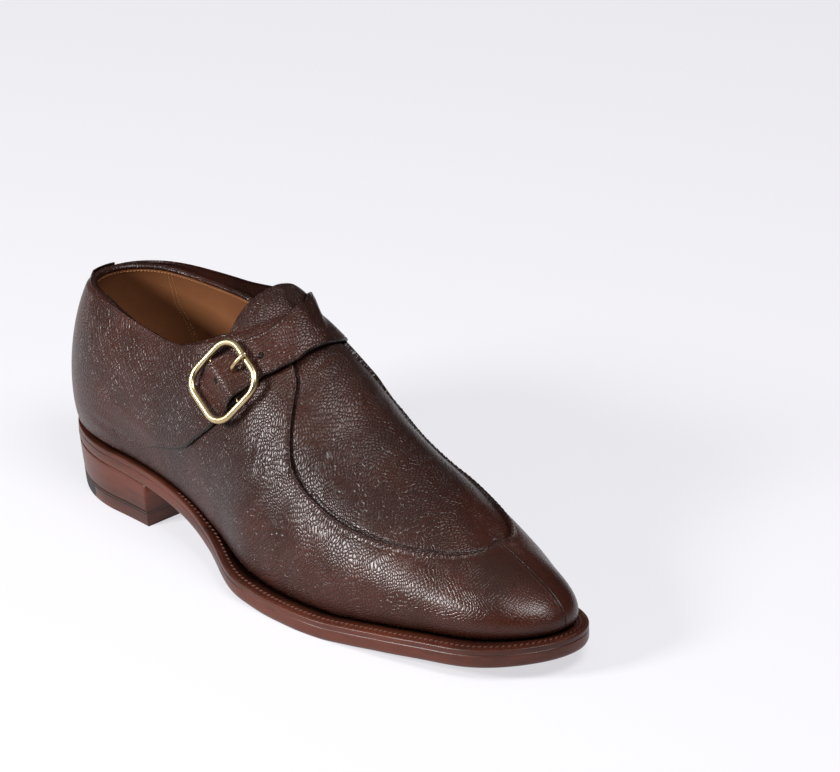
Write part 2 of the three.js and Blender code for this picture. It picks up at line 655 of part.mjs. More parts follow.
const centreBar = wire([-1, 1].map((end) => ({
  point: onBuckle(0, end * frameSide, frameLift),
  one: off,
  other: towardsRidge,
})), barDiameter / 2, 8, false);
const frameRing = wire(frameSteps(), wireDiameter / 2, 8, true);
add('buckle_frame', toGeometry(toSolid(frameRing).add(toSolid(centreBar))), brass);

function prongSteps() {
  const radius = prongDiameter / 2;
  const start = holeUnder.clone().sub(seat).dot(off) + leather * 0.4;
  const over = frameLift + wireDiameter / 2 + fitGap + radius;
  const bend = [
    [holeAt, start], [holeAt, lerp(start, over, 0.65)], [lerp(holeAt, frameHalf, 0.2), lerp(start, over, 0.92)],
    [lerp(holeAt, frameHalf, 0.6), over + 0.1], [frameHalf, over],
    [frameHalf + 0.6 * prongReach, over - 0.4], [frameHalf + prongReach, over - 1.1],
  ];
  const path = new THREE.CatmullRomCurve3(bend.map(([along, height]) => onBuckle(along, 0, height)));
  return range(14).map((u) => {
    const way = path.getTangentAt(u);
    return { point: path.getPointAt(u), one: acrossStrap, other: new THREE.Vector3().crossVectors(way, acrossStrap) };
  });
}
add('prong', wire(prongSteps(), prongDiameter / 2, 8, false), brass);

// The origin is the middle of the shoe's footprint, on the floor
const box = new THREE.Box3().setFromObject(group);
group.position.set(-(box.min.x + box.max.x) / 2, -(box.min.y + box.max.y) / 2, -box.min.z);
group.updateMatrixWorld(true);

export default group;
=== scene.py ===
import math

import bmesh
import bpy
import numpy as np
from mathutils import Matrix, Vector


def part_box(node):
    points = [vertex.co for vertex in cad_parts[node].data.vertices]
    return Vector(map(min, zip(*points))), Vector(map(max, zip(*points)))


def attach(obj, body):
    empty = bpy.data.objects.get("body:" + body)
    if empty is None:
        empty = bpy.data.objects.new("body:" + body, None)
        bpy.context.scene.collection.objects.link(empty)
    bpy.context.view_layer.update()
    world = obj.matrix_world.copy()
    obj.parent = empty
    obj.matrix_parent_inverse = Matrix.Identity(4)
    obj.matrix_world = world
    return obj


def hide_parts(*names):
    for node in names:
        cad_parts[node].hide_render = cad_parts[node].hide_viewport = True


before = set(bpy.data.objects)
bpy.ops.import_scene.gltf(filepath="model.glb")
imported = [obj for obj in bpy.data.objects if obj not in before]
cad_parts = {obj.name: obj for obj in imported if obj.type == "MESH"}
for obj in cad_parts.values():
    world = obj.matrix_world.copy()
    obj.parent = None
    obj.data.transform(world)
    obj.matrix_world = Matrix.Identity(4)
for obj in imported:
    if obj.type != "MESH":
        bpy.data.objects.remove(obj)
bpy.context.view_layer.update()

mm = 0.001
print("frame loaded:", len(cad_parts), "nodes")


# The last, in millimetres, as the solids are built on it
last = {
    "length": 289,
    "ballWidth": 82,
    "instep": 96,
    "heelHeight": 21.3,
    "toeSpring": 9,
    "outsole": 5.2,
    "welt": 2.3,
    "weltReach": 7.6,
    "fitGap": 0.3,
    "heelRound": (0.148, 1.95),  # length and power of the plan's round end
    "toeRound": (0.212, 2.16),
    "fanStart": 0.1,  # the ribs fan out from the ridge's two ends
    "fanEnd": 0.845,
    "fanSoftness": 0.03,
}


class Table:
    # Smooth curves through a few rows, one for each named column
    def __init__(self, columns, rows):
        data = np.array(rows, float)
        self.shares = data[:, 0]
        for index, name in enumerate(columns):
            setattr(self, name, self.curve(data[:, index + 1]))

    def curve(self, y):
        x = self.shares
        h = np.diff(x)
        slope = np.diff(y) / h
        tangent = np.zeros(len(x))
        for i in range(1, len(x) - 1):
            if slope[i - 1] * slope[i] > 0:
                before = 2 * h[i] + h[i - 1]
                after = h[i] + 2 * h[i - 1]
                tangent[i] = (before + after) / (before / slope[i - 1] + after / slope[i])
        tangent[0] = self.endSlope(h[0], h[1], slope[0], slope[1]) if len(h) > 1 else slope[0]
        tangent[-1] = self.endSlope(h[-1], h[-2], slope[-1], slope[-2]) if len(h) > 1 else slope[0]

        def value(share):
            share = np.asarray(share, float)
            i = np.clip(np.searchsorted(x, share, side="right") - 1, 0, len(h) - 1)
            u = np.clip((share - x[i]) / h[i], 0, 1)
            ends = (2 * u**3 - 3 * u**2 + 1) * y[i] + (3 * u**2 - 2 * u**3) * y[i + 1]
            return ends + (u**3 - 2 * u**2 + u) * h[i] * tangent[i] + (u**3 - u**2) * h[i] * tangent[i + 1]

        return value

    def endSlope(self, h0, h1, s0, s1):
        slope = ((2 * h0 + h1) * s0 - h0 * s1) / (h0 + h1)
        if slope * s0 <= 0:
            return 0
        return 3 * s0 if s0 * s1 <= 0 and abs(slope) > 3 * abs(s0) else slope


plan = Table(("outer", "inner"), [  # half widths of the feather line, shares of the ball width
    (0, 0.337, 0.337), (0.08, 0.35, 0.352), (0.16, 0.355, 0.347), (0.28, 0.379, 0.331), (0.4, 0.448, 0.332),
    (0.52, 0.558, 0.38), (0.62, 0.562, 0.428), (0.7, 0.531, 0.438), (0.78, 0.477, 0.404),
    (0.86, 0.419, 0.354), (0.93, 0.4, 0.312), (1, 0.342, 0.342),
])
bottom = Table(("heel", "toe", "thickness"), [  # underside of the outsole, and its thickness
    (0, 1, 0, 0.84), (0.12, 0.975, 0, 0.86), (0.22, 0.905, 0, 0.96), (0.32, 0.72, 0, 0.98),
    (0.42, 0.35, 0, 1), (0.5, 0.105, 0, 1.02), (0.58, 0, 0, 1.05), (0.67, 0, 0, 1.05),
    (0.72, 0, 0.135, 1.06), (0.82, 0, 0.44, 1.06), (0.92, 0, 0.675, 1.06), (1, 0, 1, 1.02),
])
ridge = Table(("height", "drift", "level"), [  # ridge line, and how far the ribs run level from it
    (0.05, 0.84, 0, 0.95), (0.25, 0.925, 0.03, 0.86), (0.38, 1.01, 0.06, 0.78), (0.46, 0.997, 0.06, 0.66),
    (0.54, 0.903, 0.066, 0.64), (0.62, 0.728, 0.048, 0.6), (0.7, 0.583, 0.047, 0.65),
    (0.78, 0.454, 0.037, 0.68), (0.86, 0.336, 0.018, 0.66), (1, 0.227, 0, 0.6),
])
swell = Table(("outer", "inner", "rise"), [  # swell of the side walls
    (0, 0.076, 0.076, 0.258), (0.1, 0.125, 0.165, 0.334), (0.25, 0.168, 0.145, 0.375),
    (0.4, 0.175, 0.126, 0.369), (0.55, 0.171, 0.127, 0.276), (0.68, 0.146, 0.128, 0.203),
    (0.8, 0.122, 0.106, 0.16), (0.9, 0.11, 0.088, 0.142), (1, 0.082, 0.082, 0.143),
])
weltOut = Table(("outer", "inner"), [  # welt beyond the feather line, shares of its reach
    (0, 0.388, 0.388), (0.2, 0.254, 0.2), (0.35, 0.367, 0.16), (0.5, 0.93, 0.41), (0.62, 1.026, 0.7),
    (0.75, 1.02, 0.787), (0.9, 1.13, 0.63), (1, 0.74, 0.74),
])
collar = Table(("outer", "inner"), [  # collar edge, the share of the way up each rib
    (0, 0.655, 0.655), (0.06, 0.66, 0.635), (0.11, 0.65, 0.612), (0.163, 0.61, 0.6), (0.22, 0.568, 0.596),
    (0.27, 0.557, 0.596), (0.314, 0.588, 0.618), (0.345, 0.633, 0.66), (0.378, 0.703, 0.73),
    (0.41, 0.8, 0.84), (0.44, 0.93, 0.95), (0.455, 1, 1),
])
apron = Table(("outer", "inner"), [  # apron seam, the share of the way up each rib
    (0, 0.4, 0.4), (0.3, 0.4, 0.4), (0.42, 0.6, 0.62), (0.485, 0.8, 0.82), (0.513, 0.765, 0.81),
    (0.534, 0.665, 0.77), (0.55, 0.59, 0.72), (0.57, 0.53, 0.66), (0.6, 0.508, 0.615), (0.64, 0.505, 0.59),
    (0.725, 0.53, 0.6), (0.78, 0.58, 0.64), (0.829, 0.657, 0.69), (0.87, 0.745, 0.765), (0.91, 0.83, 0.835),
    (0.95, 0.89, 0.89), (1, 0.93, 0.93),
])
throat = 0.455  # share of the length where the collar closes at the ridge


def mix(a, b, share):
    return a + (b - a) * share


def between(value, low, high):
    t = np.clip((np.asarray(value, float) - low) / (high - low), 0, 1)
    return t * t * (3 - 2 * t)


def bell(value, width):
    return np.exp(-((value / width) ** 2))


def unit(v):
    return v / np.maximum(np.linalg.norm(v, axis=-1, keepdims=True), 1e-12)


def dot(a, b):
    return (a * b).sum(-1)


def softplus(x):
    return np.log1p(np.exp(-np.abs(x))) + np.maximum(x, 0)


def shareOf(turn):
    return (1 - np.cos(math.pi * turn)) / 2  # turn 0 is the heel back, 1 the toe tip


def turnOf(share):
    return np.arccos(1 - 2 * np.asarray(share, float)) / math.pi


def onSide(table, side, share):
    return np.where(np.asarray(side) < 0, table.outer(share), table.inner(share))


def endRound(share):
    rounded = 1
    for (length, power), away in ((last["heelRound"], share), (last["toeRound"], 1 - share)):
        rounded = rounded * (1 - np.maximum(0, 1 - away / length) ** power) ** (1 / power)
    return rounded


def soleUnder(share):
    return last["heelHeight"] * bottom.heel(share) + last["toeSpring"] * bottom.toe(share)


def soleTop(share):
    return soleUnder(share) + last["outsole"] * bottom.thickness(share)


def weltUnder(share):
    return soleTop(share) + last["fitGap"]


def featherHeight(share):
    return weltUnder(share) + last["welt"] + last["fitGap"]


def ridgeHeight(share):
    return featherHeight(share) + last["instep"] * ridge.height(share)


def featherPoint(turn, side):
    share = shareOf(turn)
    half = last["ballWidth"] * onSide(plan, side, share) * endRound(share)
    return np.stack(np.broadcast_arrays(share * last["length"], side * half, featherHeight(share)), -1)


def lastPoint(turn, up):
    # up runs from 0 at the outer feather line over 1 at the ridge to 2 at the inner one
    turn, up = np.broadcast_arrays(np.asarray(turn, float), np.asarray(up, float))
    beyond = (turn < 0) | (turn > 1)
    turn = np.where(turn < 0, -turn, np.where(turn > 1, 2 - turn, turn))
    up = np.where(beyond, 2 - up, up)
    side = np.where(up <= 1, -1, 1)
    t = np.where(up <= 1, up, 2 - up)[..., None]
    share = shareOf(turn)
    foot = featherPoint(turn, side)
    soft = last["fanSoftness"]
    along = last["fanStart"] + soft * softplus((share - last["fanStart"]) / soft)
    along = along - soft * softplus((share - last["fanEnd"]) / soft)
    width = last["ballWidth"]
    top = np.stack([along * last["length"], width * ridge.drift(along), ridgeHeight(along)], -1)
    reach = (foot - top) * (1, 1, 0)
    low = foot + unit(reach) * (width * onSide(swell, side, share))[..., None]
    low[..., 2] += last["instep"] * swell.rise(share)
    level = ridge.level(along)
    high = top + reach * level[..., None]
    step = 0.001
    slope = (ridgeHeight(along + step) - ridgeHeight(along - step)) / (2 * step * last["length"])
    high[..., 2] += np.where(along > 0.3, slope * reach[..., 0] * level, 0)
    return (1 - t) ** 3 * foot + 3 * t * (1 - t) ** 2 * low + 3 * t**2 * (1 - t) * high + t**3 * top


def lastNormal(turn, up):
    h = 0.001
    alongWay = lastPoint(turn + h, up) - lastPoint(turn - h, up)
    acrossWay = lastPoint(turn, np.minimum(up + h, 2)) - lastPoint(turn, np.maximum(up - h, 0))
    return unit(np.cross(alongWay, acrossWay))


def lifted(turn, up, lift):
    return lastPoint(turn, up) + lastNormal(turn, up) * np.asarray(lift, float)[..., None]


def walk(turn, up, heading, distance, strides=30):
    # Walks over the last from a place, a distance in the direction given
    distance = np.asarray(distance, float)
    turn = turn + 0 * distance
    up = up + 0 * distance
    heading = np.broadcast_to(heading, distance.shape + (3,))
    h = 0.001
    for _ in range(strides):
        normal = lastNormal(turn, up)
        heading = unit(heading - normal * dot(heading, normal)[..., None])
        a = (lastPoint(turn + h, up) - lastPoint(turn - h, up)) / (2 * h)
        b = (lastPoint(turn, up + h) - lastPoint(turn, up - h)) / (2 * h)
        target = heading * (distance / strides)[..., None]
        det = dot(a, a) * dot(b, b) - dot(a, b) ** 2
        stepTurn = (dot(b, b) * dot(a, target) - dot(a, b) * dot(b, target)) / det
        stepUp = (dot(a, a) * dot(b, target) - dot(a, b) * dot(a, target)) / det
        turn = turn + stepTurn
        up = up + stepUp
    return turn, up, heading


def edgePoint(turn, side, outwards, height):
    # A point off the feather line, moved out square to it
    h = 0.0005

    def at(value):
        mirrored = (value < 0) | (value > 1)
        inside = np.where(value < 0, -value, np.where(value > 1, 2 - value, value))
        return featherPoint(inside, np.where(mirrored, -side, side))

    tangent = unit((at(turn + h) - at(turn - h)) * (1, 1, 0))
    point = featherPoint(turn, side)
    x = point[..., 0] - tangent[..., 1] * side * outwards
    y = point[..., 1] + tangent[..., 0] * side * outwards
    return np.stack(np.broadcast_arrays(x, y, height), -1)


def weltEdge(turn, side):
    return last["weltReach"] * onSide(weltOut, side, shareOf(turn))


# The scene's frame has its origin in the middle of the footprint
outlineTurns = np.linspace(0, 1, 51)
outline = [edgePoint(outlineTurns, side, weltEdge(outlineTurns, side), 0) for side in (-1, 1)]
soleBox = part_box("outsole")
toScene = np.array([soleBox[0][axis] / mm - min(o[:, axis].min() for o in outline) for axis in (0, 1)] + [0])


def ribLength(turn, side):
    ups = np.linspace(0, 1, 11)
    ups = ups if side < 0 else 2 - ups
    points = lastPoint(turn[:, None], ups[None])
    return np.linalg.norm(np.diff(points, axis=1), axis=2).sum(1)


pebbleSize = (1.3, 1.62)


def grainCells(along, round_):
    # Places in the net of pebbles, which stands on its corners
    a, b = np.broadcast_arrays(along / pebbleSize[0], round_ / pebbleSize[1])
    return np.stack([(a + b) * 0.707, (a - b) * 0.707, 0 * a], axis=-1)


def grainPlace(turn, up):
    turn, up = np.broadcast_arrays(turn, up)
    sample = np.linspace(0, 1, 120)
    middle = lastPoint(sample, 0.5 + 0 * sample)
    length = np.concatenate([[0], np.cumsum(np.linalg.norm(np.diff(middle, axis=0), axis=1))])
    ribs = [ribLength(sample, side) for side in (-1, 1)]
    rib = np.where(up < 1, np.interp(turn, sample, ribs[0]), np.interp(turn, sample, ribs[1]))
    return grainCells(np.interp(turn, sample, length), (up - 1) * rib)


def bmeshGrid(bm, points, burnish=None, grain=None):
    # A grid moved to the points, with how much edge ink and painted shade darken each vertex, and its place
    # in the grain
    rows, columns = points.shape[:2]
    if grain is None:
        grain = grainCells(points[..., 0], points[..., 1] + points[..., 2])
    grains = bm.verts.layers.float_vector.get("grain") or bm.verts.layers.float_vector.new("grain")
    layer = bm.verts.layers.float.get("burnish") or bm.verts.layers.float.new("burnish")
    made = bmesh.ops.create_grid(bm, x_segments=columns - 1, y_segments=rows - 1, size=1)
    placed = (points + toScene) * mm
    shade = np.zeros((rows, columns)) if burnish is None else np.broadcast_to(burnish, (rows, columns))
    for vert in made["verts"]:
        i = round((vert.co.y + 1) / 2 * (rows - 1))
        j = round((vert.co.x + 1) / 2 * (columns - 1))
        vert.co = placed[i, j]
        vert[layer] = shade[i, j]
        vert[grains] = grain[i, j]
    return made["verts"]


def finishPiece(name, bm, materials, replaces=(), merge=0.002):
    bmesh.ops.remove_doubles(bm, verts=bm.verts, dist=merge * mm)
    bmesh.ops.dissolve_degenerate(bm, edges=bm.edges, dist=merge * mm)
    bmesh.ops.recalc_face_normals(bm, faces=bm.faces)
    mesh = bpy.data.meshes.new(name)
    bm.to_mesh(mesh)
    bm.free()
    mesh.shade_smooth()
    for material in materials:
        mesh.materials.append(material)
    piece = bpy.data.objects.new(name, mesh)
    bpy.context.scene.collection.objects.link(piece)
    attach(piece, "root")
    if replaces:
        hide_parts(*replaces)
    print(name, len(mesh.polygons), "faces")
    return piece


def beadShape(around=8, along=4):
    # A drawn-out bead of unit size: its points, and its faces as rows of four
    angle = np.arange(around) * 2 * math.pi / around
    tilt = np.linspace(-1, 1, along + 1) * math.pi / 2
    radius = np.cos(tilt)[:, None]
    lengths = np.sin(tilt)[:, None] + 0 * angle
    points = np.stack([lengths, radius * np.cos(angle), radius * np.sin(angle)], -1).reshape(-1, 3)
    row, column = np.meshgrid(np.arange(along), np.arange(around), indexing="ij")
    beside = (column + 1) % around
    first = row * around
    after = first + around
    faces = np.stack([first + column, first + beside, after + beside, after + column], -1)
    return points, faces.reshape(-1, 4)


def stitchesAlong(path, outward, kind):
    # Stitches along a path, each turned by its tilt from the path: the points of all of them, as one array
    s = sewing[kind]
    steps = np.concatenate([[0], np.cumsum(np.linalg.norm(np.diff(path, axis=0), axis=1))])
    places = np.arange(s["pitch"] / 2, steps[-1] - s["pitch"] / 2, s["pitch"])

    def along(values, shift=0.0):
        return np.stack([np.interp(places + shift, steps, values[:, axis]) for axis in range(3)], -1)

    normal = unit(along(outward))
    way = along(path, 0.3) - along(path, -0.3)
    way = unit(way - normal * dot(way, normal)[:, None])
    angle = math.radians(s.get("tilt", 0))
    lengthwise = way * math.cos(angle) + np.cross(normal, way) * math.sin(angle)
    sideways = np.cross(normal, lengthwise)
    axes = np.stack([lengthwise * s["length"], sideways * s["width"], normal * s["width"]], 1) / 2
    return along(path)[:, None] + beadShape()[0] @ axes


def sewPiece(name, groups, material):
    points = np.concatenate(groups)
    count, each = points.shape[:2]
    faces = beadShape()[1][None] + (np.arange(count) * each)[:, None, None]
    mesh = bpy.data.meshes.new(name)
    mesh.from_pydata(((points.reshape(-1, 3) + toScene) * mm).tolist(), [], faces.reshape(-1, 4).tolist())
    bm = bmesh.new()
    bm.from_mesh(mesh)
    bpy.data.meshes.remove(mesh)
    return finishPiece(name, bm, [material], merge=0.002)


# Shader maths: a socket with operators, and one method that makes every node
class Signal:
    def __init__(self, tree, socket):
        self.tree = tree
        self.socket = socket

    def node(self, kind, settings=None, values=None, output=0):
        made = self.tree.nodes.new(kind)
        for key, value in (settings or {}).items():
            if key == "stops":
                elements = made.color_ramp.elements
                while len(elements) < len(value):
                    elements.new(0.5)
                for element, (position, colour) in zip(elements, value):
                    element.position = position
                    element.color = (*colour, 1)
            else:
                setattr(made, key, value)
        for key, value in (values or {}).items():
            if isinstance(value, Signal):
                self.tree.links.new(value.socket, made.inputs[key])
            else:
                made.inputs[key].default_value = value
        return Signal(self.tree, made.outputs[output])

    def maths(self, operation, *operands):
        return self.node("ShaderNodeMath", {"operation": operation}, dict(enumerate(operands)))

    def __add__(self, other):
        return self.maths("ADD", self, other)

    def __sub__(self, other):
        return self.maths("SUBTRACT", self, other)

    def __mul__(self, other):
        return self.maths("MULTIPLY", self, other)

    def __radd__(self, other):
        return self.maths("ADD", other, self)

    def __rsub__(self, other):
        return self.maths("SUBTRACT", other, self)

    def __rmul__(self, other):
        return self.maths("MULTIPLY", other, self)

    def ramp(self, low, high):
        values = {"Value": self, "From Min": low, "From Max": high}
        return self.node("ShaderNodeMapRange", {"interpolation_type": "SMOOTHSTEP"}, values)

    def blend(self, a, b):
        a, b = ((*c, 1) if isinstance(c, tuple) else c for c in (a, b))
        values = {"Factor": self, "A": a, "B": b}
        made = self.tree.nodes.new("ShaderNodeMix")
        made.data_type = "RGBA"
        sockets = {"Factor": made.inputs[0], "A": made.inputs[6], "B": made.inputs[7]}
        for key, value in values.items():
            if isinstance(value, Signal):
                self.tree.links.new(value.socket, sockets[key])
            else:
                sockets[key].default_value = value
        return Signal(self.tree, made.outputs[2])


def newMaterial(name, constants):
    material = bpy.data.materials.new(name)
    material.use_nodes = True
    tree = material.node_tree
    shader = tree.nodes["Principled BSDF"]
    for key, value in constants.items():
        shader.inputs[key].default_value = value
    start = Signal(tree, shader.outputs[0])
    place = start.node("ShaderNodeTexCoord", output=3)
    return material, shader, start, place


def feed(shader, **signals):
    names = {"colour": "Base Color", "rough": "Roughness", "normal": "Normal", "glow": "Emission Color"}
    for key, signal in signals.items():
        signal.tree.links.new(signal.socket, shader.inputs[names[key]])


def noise(start, place, scale, detail=3, rough=0.5):
    values = {"Vector": place, "Scale": scale, "Detail": detail, "Roughness": rough}
    return start.node("ShaderNodeTexNoise", None, values)


upperFinish = {
    "deep": (0.004, 0.0015, 0.0012),
    "brown": (0.025, 0.0076, 0.0049),
    "red": (0.05, 0.0128, 0.007),
    "depth": 0.00013,  # metres
    "wander": (7, 7, 0),  # how far the rows of pebbles stray, in pebbles
    "randomness": 0.6,
    "toe": (0.055, 0.125),  # metres along, where the grain grows finer and more polished
}


def grainedLeather():
    f = upperFinish
    material, shader, start, place = newMaterial("grainedLeather", {
        "Coat Roughness": 0.16, "Coat Weight": 0.0, "Specular IOR Level": 0.3,
    })
    wander = start.node("ShaderNodeTexNoise", None, {"Vector": place, "Scale": 70, "Detail": 2}, 1)
    cell = start.node("ShaderNodeAttribute", {"attribute_name": "grain"}, None, 1)
    strayed = {0: wander, 1: f["wander"], 2: cell}
    bent = start.node("ShaderNodeVectorMath", {"operation": "MULTIPLY_ADD"}, strayed)
    settings = {"feature": "DISTANCE_TO_EDGE", "voronoi_dimensions": "2D"}
    values = {"Vector": bent, "Scale": 1, "Randomness": f["randomness"]}
    edge = start.node("ShaderNodeTexVoronoi", settings, values)
    pebble = edge.ramp(0.0, 0.2)
    fine = noise(start, place, 2600, 2)
    x = start.node("ShaderNodeSeparateXYZ", None, {0: place})
    smoother = x.ramp(*f["toe"])
    patches = noise(start, place, 22, 3)
    height = (pebble + edge.ramp(0.0, 0.5) * 0.4) * (1 - smoother * 0.72) + fine * 0.1
    normal = start.node("ShaderNodeBump", None, {"Strength": 1.0, "Distance": f["depth"], "Height": height})
    burnish = start.node("ShaderNodeAttribute", {"attribute_name": "burnish"}, None, 2)
    warm = patches.ramp(0.38, 0.68).blend(f["brown"], f["red"])
    # edge ink and painted shade from the vertex attribute darken the leather towards the deep colour
    inkedAndShaded = (burnish * 0.85).blend(warm, f["deep"])
    # the grooves between pebbles are painted near the deep colour: painted shade in the grain
    colour = pebble.ramp(-0.2, 0.8).blend(f["deep"], inkedAndShaded)
    rough = 0.33 - pebble * 0.07 - smoother * 0.06 + patches * 0.06
    feed(shader, colour=colour, rough=rough, normal=normal)
    return material


def plainLeather(name, light, dark, rough, grain, depth, streak=(1, 1, 1), coat=0.0, blotch=30):
    material, shader, start, place = newMaterial(name, {
        "Coat Weight": coat, "Coat Roughness": 0.2, "Specular IOR Level": 0.28,
    })
    drawn = start.node("ShaderNodeMapping", None, {"Vector": place, "Scale": streak})
    patches = noise(start, drawn, blotch, 5, 0.6)
    fine = noise(start, drawn, grain, 4, 0.6)
    burnish = start.node("ShaderNodeAttribute", {"attribute_name": "burnish"}, None, 2)
    mixed = (patches * 0.75 + fine * 0.25).ramp(0.35, 0.65).blend(dark, light)
    # edge ink and painted shade from the vertex attribute darken the colour
    colour = (burnish * 0.85).blend(mixed, tuple(0.35 * c for c in dark))
    normal = start.node("ShaderNodeBump", None, {"Strength": 0.7, "Distance": depth, "Height": fine})
    feed(shader, colour=colour, rough=rough + patches * 0.12, normal=normal)
    return material


def brassMetal():
    material, shader, start, place = newMaterial("paleBrass", {"Metallic": 1.0})
    patches = noise(start, place, 120, 4)
    scratches = noise(start, place, 900, 3)
    colour = patches.ramp(0.3, 0.7).blend((0.47, 0.34, 0.17), (0.6, 0.47, 0.27))
    normal = start.node("ShaderNodeBump", None, {"Strength": 0.05, "Distance": 0.0001, "Height": scratches})
    feed(shader, colour=colour, rough=0.25 + patches * 0.12, normal=normal)
    return material


leather = grainedLeather()
lining = plainLeather("tanLining", (0.2, 0.078, 0.03), (0.145, 0.052, 0.02), 0.5, 1500, 0.00006, blotch=18)
soleEdge = plainLeather(
    "burnishedEdge", (0.09, 0.021, 0.0095), (0.03, 0.0078, 0.0048), 0.32, 420, 0.00004,
    streak=(0.35, 0.35, 2.4), coat=0.1,
)
darkLayer = plainLeather("darkLayer", (0.035, 0.018, 0.014), (0.02, 0.011, 0.009), 0.4, 900, 0.00005)
rubber = plainLeather("blackRubber", (0.03, 0.028, 0.028), (0.018, 0.017, 0.018), 0.62, 1600, 0.00006)
thread = plainLeather("brownThread", (0.02, 0.008, 0.0055), (0.009, 0.004, 0.003), 0.45, 4000, 0.00005)
tanThread = plainLeather("tanThread", (0.4, 0.2, 0.085), (0.3, 0.14, 0.055), 0.6, 4000, 0.00005)
weltThread = plainLeather("weltThread", (0.09, 0.026, 0.015), (0.04, 0.012, 0.008), 0.42, 4000, 0.00005)
brass = brassMetal()
print("materials made")


# Sewing: sizes of the stitches in each kind of seam
sewing = {
    "apron": {"pitch": 2.9, "length": 1.9, "width": 0.42, "tilt": 55},
    "lap": {"pitch": 1.3, "length": 0.95, "width": 0.34},
    "toe": {"pitch": 1.7, "length": 0.7, "width": 0.26, "tilt": 80},
    "welt": {"pitch": 2.5, "length": 2.2, "width": 1.1, "tilt": 30},
    "wheel": {"pitch": 1.15, "length": 1.3, "width": 0.46, "tilt": 78},
    "lining": {"pitch": 1.5, "length": 1.05, "width": 0.36},
}

# Upper: outer leather and lining on one wall, with the plug sunk inside its pinched seam
upper = {
    "wall": 2.2,
    "leather": 1.2,  # the outer leather's part of the wall
    "plugDrop": 0.9,
    "seamRise": 0.8,
    "seamWide": 0.5,
    "notch": 0.35,  # how deep the sewing bites into the pinched seam
    "groove": 0.85,  # valley between the pinched seam and the plug
    "toeSeam": 0.14,
    "rowsBack": 110,
    "rowsFront": 300,
    "rowsToe": (0, 0.15, 0.3, 0.5, 0.8, 1.2, 1.8, 2.6),  # rows beside the toe seam, mm away from it
}
seamSteps = np.array([
    -3.2, -2.3, -1.7, -1.3, -1, -0.75, -0.5, -0.25, 0, 0.2, 0.4, 0.6, 0.8, 1, 1.25, 1.6, 2.2, 3.2,
])


def upperTurns():
    throatTurn = float(turnOf(throat))
    back = np.linspace(0, 1, upper["rowsBack"])
    back = mix(back, np.sin(back * math.pi / 2), 0.4) * throatTurn
    speed = np.linalg.norm(lastPoint(0.99, 0.5) - lastPoint(1.0, 0.5)) / 0.01
    toe = 1 - np.array(upper["rowsToe"][::-1]) / speed
    front = np.linspace(throatTurn, toe[0], upper["rowsFront"])
    return np.concatenate([back, front[1:-1], toe])


def collarTop(turn, side):
    share = shareOf(turn)
    return np.where(share < throat, onSide(collar, side, share), 1.0)


def upperSkin(side):
    turn = upperTurns()
    share = shareOf(turn)
    top = collarTop(turn, side)
    seam = np.minimum(onSide(apron, side, share), top - 0.05)
    rib = ribLength(turn, side)
    low = np.linspace(0, 1, 20)[None, :-1] * (seam + seamSteps[0] / rib)[:, None]
    near = seam[:, None] + seamSteps[None] / rib[:, None]
    high = mix((seam + seamSteps[-1] / rib)[:, None], top[:, None], np.linspace(0, 1, 15)[None, 1:])
    t = np.concatenate([low, near, high], axis=1)
    away = (t - seam[:, None]) * rib[:, None]
    pinch = between(share, 0.545, 0.575)[:, None]
    plug = between(share, throat + 0.005, throat + 0.045)[:, None]
    lap = plug * (1 - pinch)
    crest = lastPoint(turn, seam if side < 0 else 2 - seam)
    steps = np.linalg.norm(np.diff(crest, axis=0), axis=1)
    toTip = np.concatenate([np.cumsum(steps[::-1])[::-1], [0]])[:, None]
    bite = np.cos(2 * math.pi * (toTip / sewing["apron"]["pitch"] + 0.35 * away))
    notch = 1 - upper["notch"] * (0.5 + 0.5 * bite)
    lift = pinch * upper["seamRise"] * notch * bell(away + 0.1, upper["seamWide"])
    lift = lift + lap * 0.75 * bell(away + 0.55, 0.8)
    lift = lift - plug * upper["plugDrop"] * between(away, 0.05, mix(0.45, 0.75, pinch))
    lift = lift - plug * upper["groove"] * bell(away - 1.05, 0.5)
    fold = plug * 0.22 * bell(away + 2.1, 0.5)
    lift = lift - fold
    turns = np.broadcast_to(turn[:, None], t.shape)
    ups = t if side < 0 else 2 - t
    tip = lastPoint(1.0, np.where(side < 0, t, 2 - t))
    fromTip = np.linalg.norm(lastPoint(turns, ups) - tip, axis=-1)
    belowSeam = between(-away, 0.5, 2.5)
    lift = lift + upper["toeSeam"] * belowSeam * (bell(fromTip - 0.6, 0.4) - 2.2 * bell(fromTip, 0.3))
    lift = lift + creaseLift(turns, ups) * between(t, 0.02, 0.1)
    # painted shade: darker in the groove beside the plug, in the toe seam's dip and along the foot of the
    # upper above the welt
    burnish = 1.1 * plug * bell(away - 0.95, 0.8) + 0.5 * belowSeam * bell(fromTip, 0.6)
    burnish = burnish + 0.6 * bell(t * rib[:, None], 5)
    return turns, ups, lift, np.clip(burnish, 0, 1)
